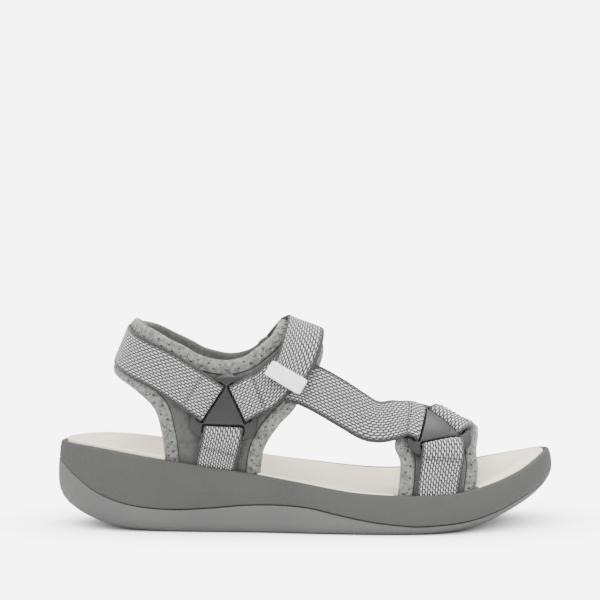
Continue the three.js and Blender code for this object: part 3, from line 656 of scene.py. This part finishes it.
BAND_SLOTS = ((-71.2, -24.4, OUTER), (43.6, 84.6, OUTER), (-72.6, -24.4, INNER), (53.6, 87.6, INNER))
WEB_SLOTS = ((-58.5, -35.5, OUTER), (53.2, 76.0, OUTER), (-72.4, -26.4, INNER), (58.4, 81.6, INNER))


def slot_cutters(places, heights, past):
    cutters = []
    for x0, x1, side in places:
        rows = []
        for x in np.linspace(x0, x1, 4):
            level = rim_at(x, side)
            rows.append([on_last(x, level - SLOT_DEPTH - past, side), on_last(x, level + 14, side)])
        cutters.append(band_shell(rows, heights, 46, 5))
    return cutters


def make_midsole():
    part = parting(SX) + SOLE_GAP
    rings = [cup_face(share, SOLE_GAP) for share in (0.7, 0.4, 0.2, 0.06)]
    for up, inset in ((0, 0.9), (0.15, 0.4), (0.45, 0.1), (0.9, 0)):
        rings.append(inward(skin_inset(part + up) + inset, part + up))
    for k in (0.12, 0.25, 0.4, 0.55, 0.7, 0.82, 0.9):
        z = mix(part + 0.9, rim - 1.5, k)
        rings.append(inward(skin_inset(z), z))
    # Where a band goes down, the wall is thick enough to reach it.
    thicker = np.zeros(len(SX))
    for x0, x1, side in BAND_SLOTS:
        inside = ease((SX - x0) / 2.5) * ease((x1 - SX) / 2.5)
        thicker = np.maximum(thicker, 2.6 * inside * (rim_point[:, 1] * side > 0))
    for inset, down in ((1.3, 1.5), (1.42, 0.9), (1.75, 0.35), (2.2, 0.05), (2.7, 0), (3.4, 0.05)):
        rings.append(inward(inset, rim - down))
    for inset, down in ((3.9, 0.3), (4.2, 0.8), (4.4, 1.6)):
        rings.append(inward(inset + thicker, rim - down))
    rings.append(inward(4.5 + thicker, bed_top(4.5) - SEAT_DEPTH))
    for d in (12, 20, 24):
        rings.append(inward(d, bed_top(d) - SEAT_DEPTH))
    ob = piece("midsole_wall", *loft(rings), MIDSOLE)
    carve(ob, slot_cutters(BAND_SLOTS, (-0.8, 5.2), 2.5))
    carve(ob, slot_cutters(WEB_SLOTS, (3.1, 6.9), 2.1))
    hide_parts("midsole")


def make_footbed():
    rings = [inward(d, bed_top(d) - BED_THICK) for d in (24, 16, BED_EDGE + 1)]
    rings.append(inward(BED_EDGE, bed_top(BED_EDGE) - BED_THICK + 1))
    for inset, down in (
            (0, 2.2), (0, 1.3), (0.15, 0.7), (0.5, 0.25), (1.0, 0.02), (1.6, -0.12), (2.3, -0.1),
            (3.0, 0.05), (3.6, 0.32), (4.0, 0.62), (4.4, 0.62), (4.9, 0.3), (5.6, 0.06), (6.4, 0)):
        d = BED_EDGE + inset
        rings.append(inward(d, bed_top(d) - down))
    rings += [inward(d, bed_top(d)) for d in (12, 16, 20, 24)]
    for k in (0.25, 0.5, 0.75, 0.93):
        d = mix(24, np.maximum(reach, 24.5), k)
        rings.append(inward(d, bed_top(d)))
    ob = piece("footbed", *loft(rings), SUEDE)
    carve(ob, slot_cutters(BAND_SLOTS, (-0.8, 16), 2.5))
    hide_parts("footbed_cover", "footbed_foam")


# ---------- places ----------
def sole_spot(x, side):
    return on_last(x, rim_at(x, side) - SLOT_DEPTH, side)


def mirrored(row):
    return [np.array(p) * (1, -1, 1) - (0, 0, 1.5) for p in row]


def outer(x, z):
    return on_last(x, z, OUTER)


def inner(x, z):
    return on_last(x, z, INNER)


heel_side = [
    [outer(-72.5, 50), outer(-61, 94)], [outer(-76, 62), outer(-68, 97.5)],
    [outer(-85, 71), outer(-76, 102)], [(-92, -13, 75.5), (-84, -13, 105)]]
collar_rows = [
    [(3, 12, 92), (-14, 12, 100)], [(6, -2, 94), (-16, -2, 103)],
    [(7, -16, 88), (-16, -16, 102)], [(4, -25, 78), (-18, -24, 99)],
    [outer(-6, 62.5), (-21, -26, 96.5)], [outer(-14, 54), outer(-26.5, 92)],
    [outer(-21, 43), outer(-31, 89)], [sole_spot(-26, OUTER), outer(-36, 87.5)],
    [sole_spot(-41, OUTER), outer(-41, 87)], [sole_spot(-56, OUTER), outer(-47, 87.8)],
    [sole_spot(-69.5, OUTER), outer(-54, 90)],
    *heel_side, [(-96, 0, 77), (-87, 0, 106.5)], *[mirrored(r) for r in heel_side[::-1]],
    [sole_spot(-71, INNER), inner(-54, 88.5)], [sole_spot(-56, INNER), inner(-47, 86.5)],
    [sole_spot(-41, INNER), inner(-41, 85.5)], [sole_spot(-26, INNER), inner(-36, 86)],
    [inner(-21, 43), inner(-31, 87.5)], [inner(-15, 54), inner(-27, 90)],
    [inner(-9, 64), (-23, 27, 94)], [inner(-5, 74), (-19, 25, 97)]]
vamp_rows = [
    [sole_spot(45, OUTER), sole_spot(83, OUTER)], [outer(47, 34), outer(85.5, 31)],
    [outer(44, 44), (86, -22, 40)], [(47, -18, 56), (87, -8, 44)],
    [(52, 0, 58), (88, 8, 44)], [(56, 20, 52), (89, 22, 40)],
    [inner(57, 36), inner(88, 28)], [sole_spot(55, INNER), sole_spot(86, INNER)]]


class RingFrame:
    """Flat coordinates on the last round the middle of a ring."""

    def __init__(self, centre, forward):
        self.point, normal = settle(centre)
        self.e1 = np.array([forward, 0, 0], float)
        self.e1 = unit(self.e1 - normal * self.e1.dot(normal))
        self.e2 = np.cross(normal, self.e1)

    def spot(self, u, v):
        return self.point + self.e1 * np.asarray(u)[..., None] + self.e2 * np.asarray(v)[..., None]

    def polar(self, degrees, r):
        a = math.radians(degrees)
        return self.spot(r * math.cos(a), r * math.sin(a))


ankle_ring = RingFrame(outer(-41, 62), 1)
front_ring = RingFrame(outer(63.5, 47.5), 1)
medial_ring = RingFrame(inner(-31, 64), -1)
ANKLE_TURN, FRONT_TURN, MEDIAL_TURN = 27, 50, 32
FOLD_AT, MEDIAL_FOLD = 9.7, 5.5


def approach(ring, degrees, first=1):
    return [ring.polar(degrees, r) for r in (34, 24, 17, FOLD_AT, 4)[first:]]


def medial_up(v):
    return medial_ring.polar(90 + MEDIAL_TURN, v)


# ---------- padded bands ----------
def spread(edge_steps, length, middle_step):
    """Shares from 0 to 1: fine steps at both ends, even steps between."""
    edge = np.array(edge_steps) * min(1.0, length / (2.4 * edge_steps[-1])) / length
    count = max(3, int((1 - 2 * edge[-1]) * length / middle_step))
    return np.concatenate([edge, np.linspace(edge[-1], 1 - edge[-1], count + 1)[1:-1], 1 - edge[::-1]])


def measure(grid, lines):
    """Distance from each grid point to the lines, and the run along them of the nearest spot."""
    run, total = [], 0.0
    for line in lines:
        d = run_along(line)
        run.append(d + total)
        total += d[-1] + 40
    points, run = np.concatenate(lines), np.concatenate(run)
    tree = search_tree(points)
    flat = grid.reshape(-1, 3)
    found = [tree.find(q)[1] for q in flat]
    gap = np.linalg.norm(flat - points[found], axis=1)
    return gap.reshape(grid.shape[:2]), run[found].reshape(grid.shape[:2])


PAD_EDGE = (0, 0.1, 0.35, 0.75, 1.3, 1.9, 2.6, 3.5, 4.4, 5.2, 5.8, 6.2, 6.6, 7.0, 7.5, 8.2)


def free_runs(line):
    """The stretches of an edge that stand clear of the sole."""
    x, y, z = line.T
    level = np.where(y < 0, rim_outer(x), rim_inner(x))
    clear = z > level - 2
    cuts = np.flatnonzero(np.diff(clear)) + 1
    runs = zip(np.split(line, cuts), np.split(clear, cuts))
    return [run for run, ok in runs if ok[0] and len(run) > 3]


def pad_height(edge, free):
    """Half thickness of the padding, and how far its outer face stands up by the seams."""
    roll = np.sqrt(clamp(1 - (1 - clamp(edge / ROLL)) ** 2))
    groove = 0.75 * np.exp(-(((free - SEAM) / 0.75) ** 2))
    crown = 0.22 * np.exp(-(((free - 3.6) / 1.8) ** 2))
    return PAD_HALF * roll, crown * roll - groove


def make_pad(name, rows, steps, nodes):
    low, high = (settle(line)[0] for line in band_lines(rows, np.linspace(0, 1, EDGE_SAMPLES)))
    length = np.linalg.norm(np.diff((low + high) / 2, axis=0), axis=1).sum()
    t = spread(PAD_EDGE, length, length / steps)
    a, b = band_lines(rows, t)
    width = float(np.median(np.linalg.norm(b - a, axis=1)))
    v = spread(PAD_EDGE, width, 1.3)
    grid, normal = settle(a[:, None] + (b - a)[:, None] * v[None, :, None])
    ends = [grid[0], grid[-1]]
    in_sole_end = name == "forefoot_band"
    edge, _ = measure(grid, [low, high, *ends])
    border = [*free_runs(low), *free_runs(high), *([] if in_sole_end else ends)]
    free, along = measure(grid, border)
    half, rise = pad_height(edge, free)
    soft = 0.12 * ripple(grid, 11, 0.4) * clamp(edge / 4)
    top = grid + normal * (PAD_MIDDLE + half + rise + soft)[..., None]
    low_groove = np.where(free < 30, 0.35 * np.exp(-(((free - SEAM) / 0.9) ** 2)), 0)
    bottom = grid + normal * (PAD_MIDDLE - half + low_groove)[..., None]
    n, m = grid.shape[:2]
    verts = np.concatenate([top.reshape(-1, 3), bottom.reshape(-1, 3)])
    index = np.arange(n * m).reshape(n, m)
    under = index + n * m
    under[0], under[-1], under[:, 0], under[:, -1] = index[0], index[-1], index[:, 0], index[:, -1]
    quads = []
    for sheet in (index, under[:, ::-1]):
        corners = [sheet[:-1, :-1], sheet[1:, :-1], sheet[1:, 1:], sheet[:-1, 1:]]
        quads.append(np.stack(corners, -1).reshape(-1, 4))
    faces = np.concatenate(quads)
    used = np.unique(faces)
    renumber = np.zeros(len(verts), int)
    renumber[used] = np.arange(len(used))
    flat = np.column_stack([free.ravel(), along.ravel(), np.ones(n * m)])
    values = np.concatenate([flat, flat * (1, 1, -1)])[used]
    ob = piece(name, verts[used], renumber[faces], PAD, {"border": values})
    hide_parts(*nodes)
    return low, high


def stitches(name, pairs, radius, material, body=ROOT):
    """Small arched threads, one for each pair of end points with its outward normal."""
    t = np.linspace(0, 1, 5)
    size = np.array([0.25, 0.85, 1, 0.85, 0.25]) * radius
    arch = np.sin(t * math.pi) * radius * 0.7
    turn = np.arange(6) * math.pi / 3
    threads = []
    for a, b, up in pairs:
        d = unit(b - a)
        side = unit(np.cross(up, d))
        lift = np.cross(d, side)
        ring = np.cos(turn)[:, None] * side + np.sin(turn)[:, None] * lift
        middle = a + (b - a) * t[:, None] + lift * arch[:, None]
        threads.append(tube(middle[:, None] + ring[None] * size[:, None, None]))
    ob = piece(name, *join(threads), material, body=body)


def border_stitches(name, edges):
    """Zigzag cover stitch round the free edges of a padded band."""
    pairs = []
    for line, other in (edges, edges[::-1]):
        tree = search_tree(line)
        for run in free_runs(line):
            d = run_along(run)
            at = np.arange(3, d[-1] - 3, 2.1)
            if len(at) < 3:
                continue
            spots = np.column_stack([np.interp(at, d, run[:, k]) for k in range(3)])
            towards = unit(np.array([other[tree.find(q)[1]] for q in spots]) - spots)
            tangent = unit(np.gradient(spots, axis=0))
            towards = unit(towards - tangent * (towards * tangent).sum(1)[:, None])
            depth = np.where(np.arange(len(at)) % 2, 5.1, 2.3)
            point, normal = settle(spots + towards * depth[:, None])
            half, rise = pad_height(depth, depth)
            point = point + normal * (PAD_MIDDLE + half + rise + 0.05)[:, None]
            pairs += [(point[i], point[i + 1], normal[i]) for i in range(len(at) - 1)]
    stitches(name, pairs, 0.26, PALE_THREAD)


# ---------- webbing ----------
FOLD_RADIUS = (OVER - UNDER) / 2


def fold_line(at, back):
    turn = math.pi * (0.5 - np.linspace(0, 1, 15)[1:-1])
    bend = np.column_stack([
        at + FOLD_RADIUS * np.cos(turn), (OVER + UNDER) / 2 + FOLD_RADIUS * np.sin(turn)])
    tail = np.column_stack([at - back * np.linspace(0, 1, 12), np.full(12, UNDER)])
    return np.vstack([bend, tail])


def run_line(start, stop, height, step=0.9):
    s = np.linspace(start, stop, max(3, int((stop - start) / step)))
    return np.column_stack([s, height(s)])


def folded_height(before, back, plain=UNDER):
    second = max(plain, SECOND)
    near_fold = mix(OVER, second, ease((before - 3.5) / 7))
    beyond = mix(second, plain, ease((before - back - 3) / 8))
    return np.where(before < back + 3, near_fold, beyond)


EDGE_SHARES = np.array([-1, -0.985, -0.955, -0.91, -0.84, -0.74, -0.62, -0.5, -0.38, -0.25, -0.12, 0])
SHARES = np.concatenate([EDGE_SHARES, -EDGE_SHARES[:-1][::-1]])


def ribbon(name, path, line, material, nodes, width=WEB_WIDTH, thick=WEB, body=ROOT, corner=0.0,
           crown=0.0, fold=None):
    """Webbing or tape swept along its middle line of (along, height), with rounded selvedges."""
    line = np.asarray(line)
    step = unit(np.gradient(line, axis=0))
    out = np.column_stack([-step[:, 1], step[:, 0]])
    run = run_along(line)
    half_width = np.full(len(line), width / 2)
    half_thick = np.full(len(line), thick / 2)
    if fold is not None:
        half_width = mix(FOLD_HALF, half_width, ease(np.abs(fold - line[:, 0]) / 12))
    if corner:
        near_end = clamp(np.minimum(run, run[-1] - run) / corner)
        arc = np.sqrt(1 - (1 - near_end) ** 2)
        half_width -= corner * (1 - arc)
        half_thick *= 0.35 + 0.65 * arc
    edge = np.sqrt(1 - np.abs(SHARES) ** 12)
    body_height = half_thick[:, None] * edge[None]
    top_extra = crown * (1 - SHARES**2)[None]
    sides = []
    for sign in (1, -1):
        h = sign * body_height + (top_extra if sign > 0 else 0)
        s = line[:, :1] + out[:, :1] * h
        z = line[:, 1:] + out[:, 1:] * h
        v = half_width[:, None] * SHARES[None]
        p = path.place(s, v, z)
        lay = np.stack([np.broadcast_to(run[:, None], v.shape), v, np.full(v.shape, sign * 1.0)], -1)
        sides.append((p, lay))
    (top, top_lay), (bottom, bottom_lay) = sides
    loops = np.concatenate([top, bottom[:, -2:0:-1]], 1)
    lays = np.concatenate([top_lay, bottom_lay[:, -2:0:-1]], 1)
    ob = piece(name, *tube(loops), material, {"lay": lays.reshape(-1, 3)}, body=body, crease=60)
    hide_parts(*nodes)
    return ob


def cross_seam(path, s, height, pairs, half=8.4, pitch=2.4):
    """Adds one row of stitches across a web."""
    for v in np.arange(-half, half - 1, pitch):
        ends = path.place(s, [v + 0.25, v + pitch - 0.35], height)
        pairs.append((ends[0], ends[1], settle(ends[0])[1]))


def folded_web(name, path, fold_spot, tail, node, pairs, plain=UNDER):
    fold = path.nearest(fold_spot)
    line = np.vstack([
        run_line(0, fold, lambda s: folded_height(fold - s, tail, plain)), fold_line(fold, tail)])
    ribbon(name, path, line, WEBBING, [node], fold=fold)
    for back in (1.6, 2.6):
        s = fold - tail + back
        cross_seam(path, s, float(folded_height(fold - s, tail, plain)) + WEB / 2 + 0.02, pairs)


# ---------- rings ----------
def plate(name, ring, outer, holes, distance, node, dome=0.0):
    """Ring of moulded plastic: a flat shape with rounded edges, laid on the last."""
    verts, edges = [], []
    for loop in [outer, *holes]:
        first = len(verts)
        verts += [Vector(q) for q in loop]
        edges += [(first + i, first + (i + 1) % len(loop)) for i in range(len(loop))]
    step = 0.42
    size = int(19 / step)
    for i in range(-size, size + 1):
        for j in range(-size, size + 1):
            q = np.array([(i + 0.5 * (j % 2)) * step, j * step * 0.866])
            if distance(q[None])[0] > 0.16:
                verts.append(Vector(q))
    points, _, triangles, *_ = delaunay_2d_cdt(verts, edges, [], 0, 1e-6)
    flat = np.array([tuple(q) for q in points])
    centres = np.array([flat[list(t)].mean(0) for t in triangles])
    keep = distance(centres) > 0
    triangles = [tuple(t) for t, ok in zip(triangles, keep) if ok]
    inside = np.clip(distance(flat), 0, None)
    half = (RING_TOP - RING_LOW) / 2
    bulge = half * np.sqrt(clamp(1 - (1 - clamp(inside / 0.9)) ** 2))
    middle = (RING_TOP + RING_LOW) / 2
    ground = ring.spot(flat[:, 0], flat[:, 1])
    rise = dome * clamp(1 - (flat**2).sum(1) / 50)
    top = above(ground, middle + bulge + rise)
    bottom = above(ground, middle - bulge)
    n = len(flat)
    rim_points = {i for i in range(n) if inside[i] < 1e-3}
    twin = {i: (i if i in rim_points else i + n) for i in range(n)}
    faces = triangles + [tuple(twin[i] for i in t[::-1]) for t in triangles]
    used = sorted({i for f in faces for i in f})
    number = {old: new for new, old in enumerate(used)}
    verts = np.concatenate([top, bottom])[used]
    ob = piece(name, verts, [tuple(number[i] for i in f) for f in faces], PLASTIC)
    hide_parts(node)


def rounded_box(q, centre, half, r):
    d = np.abs(q - centre) - (np.array(half) - r)
    return np.linalg.norm(np.maximum(d, 0), axis=-1) + np.minimum(d.max(-1), 0) - r


def rounded_loop(half, r):
    """Loop of a box with rounded corners."""
    out = []
    for k, (sx, sy) in enumerate(((1, 1), (-1, 1), (-1, -1), (1, -1))):
        for a in np.linspace(k * 90, k * 90 + 90, 7):
            out.append((sx * (half[0] - r) + r * math.cos(math.radians(a)),
                        sy * (half[1] - r) + r * math.sin(math.radians(a))))
    dense = []
    for i, q in enumerate(out):
        nxt = np.array(out[(i + 1) % len(out)])
        count = max(1, int(np.linalg.norm(nxt - q) / 0.5))
        dense += [tuple(mix(np.array(q), nxt, j / count)) for j in range(count)]
    return dense


def turned(points, degrees):
    a = math.radians(degrees)
    c, s = math.cos(a), math.sin(a)
    return np.asarray(points) @ np.array([[c, s], [-s, c]])


def triangle_ring(name, ring, turn, node):
    apothem = BAR_OUT - LOBE
    slot_mid = (SLOT_IN + SLOT_OUT) / 2
    slot_size = ((SLOT_OUT - SLOT_IN) / 2, SLOT_HALF)

    def distance(q):
        corner = np.full(len(q), -1e9)
        holes = np.full(len(q), 1e9)
        local = [turned(q, -(turn + 120 * k)) for k in range(3)]
        for w in local:
            corner = np.maximum(corner, w[:, 0] - apothem)
            holes = np.minimum(holes, rounded_box(w, (slot_mid, 0), slot_size, SLOT_CORNER))
        outside = np.full(len(q), 1e9)
        for w in local:
            t = np.clip(w[:, 1], -apothem * math.sqrt(3), apothem * math.sqrt(3))
            outside = np.minimum(outside, np.hypot(w[:, 0] - apothem, w[:, 1] - t))
        sd = np.where(corner > 0, outside, corner) - LOBE
        return np.minimum(-sd, holes)

    outer = []
    for k in range(3):
        middle = turn + 120 * k
        side = np.linspace(-1, 1, 30)[:-1] * apothem * math.sqrt(3)
        outer += list(turned(np.column_stack([np.full(29, BAR_OUT), side]), middle))
        hub = turned([(2 * apothem, 0)], middle + 60)[0]
        a = np.radians(middle + np.linspace(0, 120, 34)[:-1])
        outer += list(hub + LOBE * np.column_stack([np.cos(a), np.sin(a)]))
    slot = np.array(rounded_loop(slot_size, SLOT_CORNER)) + (slot_mid, 0)
    holes = [turned(slot, turn + 120 * k) for k in range(3)]
    plate(name, ring, outer, holes, distance, node, dome=0.35)


def oblong_ring(name, ring, turn, node):
    def distance(q):
        w = turned(q, -turn)
        return np.minimum(
            -rounded_box(w, (0, 0), OBLONG, OBLONG_CORNER), rounded_box(w, (0, 0), OBLONG_HOLE, HOLE_CORNER))

    outer = turned(rounded_loop(OBLONG, OBLONG_CORNER), turn)
    hole = turned(rounded_loop(OBLONG_HOLE, HOLE_CORNER), turn)
    plate(name, ring, outer, [hole], distance, node)


# ---------- build ----------
make_outsole()
make_lugs()
make_midsole()
make_footbed()
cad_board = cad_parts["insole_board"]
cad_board.data.materials.clear()
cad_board.data.materials.append(BOARD)

collar_edges = make_pad("ankle_collar", collar_rows, 430, ["collar_lining", "collar_foam", "collar_shell"])
vamp_edges = make_pad("forefoot_band", vamp_rows, 120, ["vamp_lining", "vamp_foam", "vamp_shell"])
border_stitches("collar_stitching", collar_edges)
border_stitches("band_stitching", vamp_edges)

triangle_ring("ankle_triangle", ankle_ring, ANKLE_TURN, "ankle_ring")
triangle_ring("front_triangle", front_ring, FRONT_TURN, "front_ring")
oblong_ring("inner_loop", medial_ring, MEDIAL_TURN, "medial_ring")

seams = []


def ankle_slot(k):
    return ankle_ring.polar(ANKLE_TURN + 120 * k, FOLD_AT)


def front_slot(k):
    return front_ring.polar(FRONT_TURN + 120 * k, FOLD_AT)


folded_web("heel_strap", Path([
    sole_spot(-60.5, INNER), inner(-62, 46), inner(-69, 66), (-81, 20, 82), (-89, 8, 90),
    (-90.5, -6, 92), (-84, -18, 88), outer(-73, 82.5), *approach(ankle_ring, ANKLE_TURN + 120)]),
    ankle_slot(1), TAIL, "heel_web", seams)
folded_web("ankle_anchor", Path([
    sole_spot(-46.8, OUTER), outer(-45.4, 36), *approach(ankle_ring, ANKLE_TURN + 240, 3)]),
    ankle_slot(2), TAIL, "ankle_anchor_web", seams)
folded_web("loop_strap", Path([(-3, -25, 89), *approach(ankle_ring, ANKLE_TURN)]),
           ankle_slot(0), TAIL, "loop_web", seams, SECOND)
folded_web("front_anchor", Path([
    sole_spot(64.6, OUTER), outer(65.2, 26), *approach(front_ring, FRONT_TURN - 120, 3)]),
    front_slot(2), SHORT_TAIL, "front_anchor_web", seams)
folded_web("instep_strap", Path([
    outer(-9, 76), outer(1, 73), outer(12, 67), outer(23, 60),
    outer(33, 54.5), *approach(front_ring, FRONT_TURN + 120, 2)]),
    front_slot(1), SHORT_TAIL, "instep_web", seams)
folded_web("band_strap", Path([
    sole_spot(70, INNER), inner(71.5, 32), (73.5, 24, 46), (74, 10, 50), (74, -1, 51),
    *approach(front_ring, FRONT_TURN, 2)]),
    front_slot(0), SHORT_TAIL, "vamp_web", seams)
folded_web("inner_anchor", Path([
    sole_spot(-38, INNER), inner(-38.5, 42), medial_up(-14), medial_up(-MEDIAL_FOLD), medial_up(1)]),
    medial_up(-MEDIAL_FOLD), SHORT_TAIL, "medial_anchor_web", seams)
stitches("strap_stitching", seams, 0.3, DARK_THREAD)

# The closing strap folds round the upper bar of the inner ring, lies on the flap over the top of the instep,
# and past the hinge stands higher over the loop web.
closure = Path([
    medial_up(-1), medial_up(MEDIAL_FOLD), medial_up(14), (-15, 26, 87), (-8.5, 14, 98),
    (-6, 0, 99), (-5, -12, 98), (-5.2, -23, 91), outer(-7.5, 82.5), outer(-13, 73)])
hinge = closure.length * HINGE_AT


def closure_height(s):
    return mix(ON_FLAP, CLOSED, ease((s - hinge) / 18))


ring_fold = closure.nearest(medial_up(MEDIAL_FOLD))
turned_fold = fold_line(ring_fold, SHORT_TAIL)[::-1]
turned_fold[:, 0] = 2 * ring_fold - turned_fold[:, 0]
strap_line = np.vstack([
    turned_fold,
    run_line(ring_fold, hinge - HINGE_GAP, lambda s: folded_height(s - ring_fold, SHORT_TAIL, ON_FLAP)),
    run_line(hinge + HINGE_GAP, closure.length, closure_height)])
strap = ribbon("closing_strap", closure, strap_line, STRAP, ["closure_upper", "closure_end"],
               body=None, fold=ring_fold)
bend = closure.place([hinge - BLEND_REACH, hinge + BLEND_REACH], 0, ON_FLAP) / 1000
tuple(bend[0])
tuple(bend[1])
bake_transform(strap)
ribbon("hook_tape", closure, run_line(
    hinge + 27, closure.length - 2, lambda s: closure_height(s) - WEB / 2 - 0.95),
    HOOKS, ["hook_patch"], width=17, thick=0.7, body="closure_end", corner=1.5)
ribbon("strap_tab", closure, run_line(
    closure.length - 7, closure.length, lambda s: closure_height(s) + WEB / 2 + 1.0, 0.3),
    TAB, ["pull_tab"], width=22.4, thick=1.5, body="closure_end", corner=1.1, crown=0.15)
fold_seam = []
for back in (4.4, 5.4):
    s = ring_fold + back
    cross_seam(closure, s, float(folded_height(s - ring_fold, SHORT_TAIL, ON_FLAP)) + WEB / 2, fold_seam)
stitches("strap_fold_stitching", fold_seam, 0.3, DARK_THREAD, body="closure_upper")


# ---------- studio ----------
def shader_nodes(tree, *kinds):
    return [tree.nodes.new("ShaderNode" + kind) for kind in kinds]


def studio():
    me = bpy.data.meshes.new("floor")
    size = 6.0
    corners = [(-size, -size, 0), (size, -size, 0), (size, size, 0), (-size, size, 0)]
    me.from_pydata(corners, [], [(0, 1, 2, 3)])
    floor = bpy.data.objects.new("floor", me)
    into_scene(floor)
    me.materials.append(paper_floor())
    world = bpy.data.worlds.new("studio")
    world.use_nodes = True
    tree = world.node_tree
    room = tree.nodes["Background"]
    backdrop, seen, join_node = shader_nodes(tree, "Background", "LightPath", "MixShader")
    for node, strength in ((room, 1.5), (backdrop, BACKDROP)):
        node.inputs[0].default_value = (1, 1, 1, 1)
        node.inputs[1].default_value = strength
    tree.links.new(seen.outputs["Is Camera Ray"], join_node.inputs[0])
    tree.links.new(room.outputs[0], join_node.inputs[1])
    tree.links.new(backdrop.outputs[0], join_node.inputs[2])
    tree.links.new(join_node.outputs[0], tree.nodes["World Output"].inputs[0])
    bpy.context.scene.world = world
    for name, place, size, power in (
            ("key", (-0.5, -0.9, 1.5), 1.1, 24),
            ("top", (0.3, 0.2, 1.6), 1.4, 34),
            ("fill", (1.2, -1.0, 0.8), 1.2, 7)):
        light = bpy.data.lights.new(name, "AREA")
        light.shape, light.size, light.energy = "DISK", size, power
        ob = bpy.data.objects.new(name, light)
        ob.location = place
        ob.rotation_euler = (Vector((0, 0, 0.05)) - Vector(place)).to_track_quat("-Z", "Y").to_euler()
        into_scene(ob)


def paper_floor():
    """White paper: it lights the sandal as plain paper; to the camera it glows white and shows a painted
    soft shadow under the sandal, made from ambient occlusion.
    """
    material = bpy.data.materials.new("floor_paper")
    material.use_nodes = True
    tree = material.node_tree
    tree.nodes.clear()
    out, join_node, seen, paper, glow, shade, power, level = shader_nodes(
        tree, "OutputMaterial", "MixShader", "LightPath", "BsdfDiffuse", "Emission", "AmbientOcclusion",
        "Math", "MapRange")
    paper.inputs[0].default_value = (0.9, 0.9, 0.9, 1)
    # Painted shadow: the camera-only glow is dimmed by ambient occlusion under the sandal.
    shade.inputs["Distance"].default_value = 0.05
    shade.samples = 24
    power.operation = "POWER"
    power.inputs[1].default_value = 1.35
    level.inputs["To Min"].default_value = 0.02
    level.inputs["To Max"].default_value = BACKDROP
    for source, socket in (
            (shade.outputs["AO"], power.inputs[0]),
            (power.outputs[0], level.inputs["Value"]),
            (level.outputs[0], glow.inputs[1]),
            (seen.outputs["Is Camera Ray"], join_node.inputs[0]),
            (paper.outputs[0], join_node.inputs[1]),
            (glow.outputs[0], join_node.inputs[2]),
            (join_node.outputs[0], out.inputs[0])):
        tree.links.new(source, socket)
    return material


def camera():
    elevation = math.radians(6.6)
    distance = 1.4
    data = bpy.data.cameras.new("camera")
    data.sensor_width = 36
    data.lens = 36 * distance / 0.3102
    data.clip_end = 30
    ob = bpy.data.objects.new("camera", data)
    pivot = Vector((0, 0, 0.050))
    ob.location = pivot + Vector((0, -math.cos(elevation), math.sin(elevation))) * distance
    aim = Vector((-0.0034, 0, 0.1155))
    ob.rotation_euler = (aim - ob.location).to_track_quat("-Z", "Y").to_euler()
    into_scene(ob)
    bpy.context.scene.camera = ob


studio()
camera()
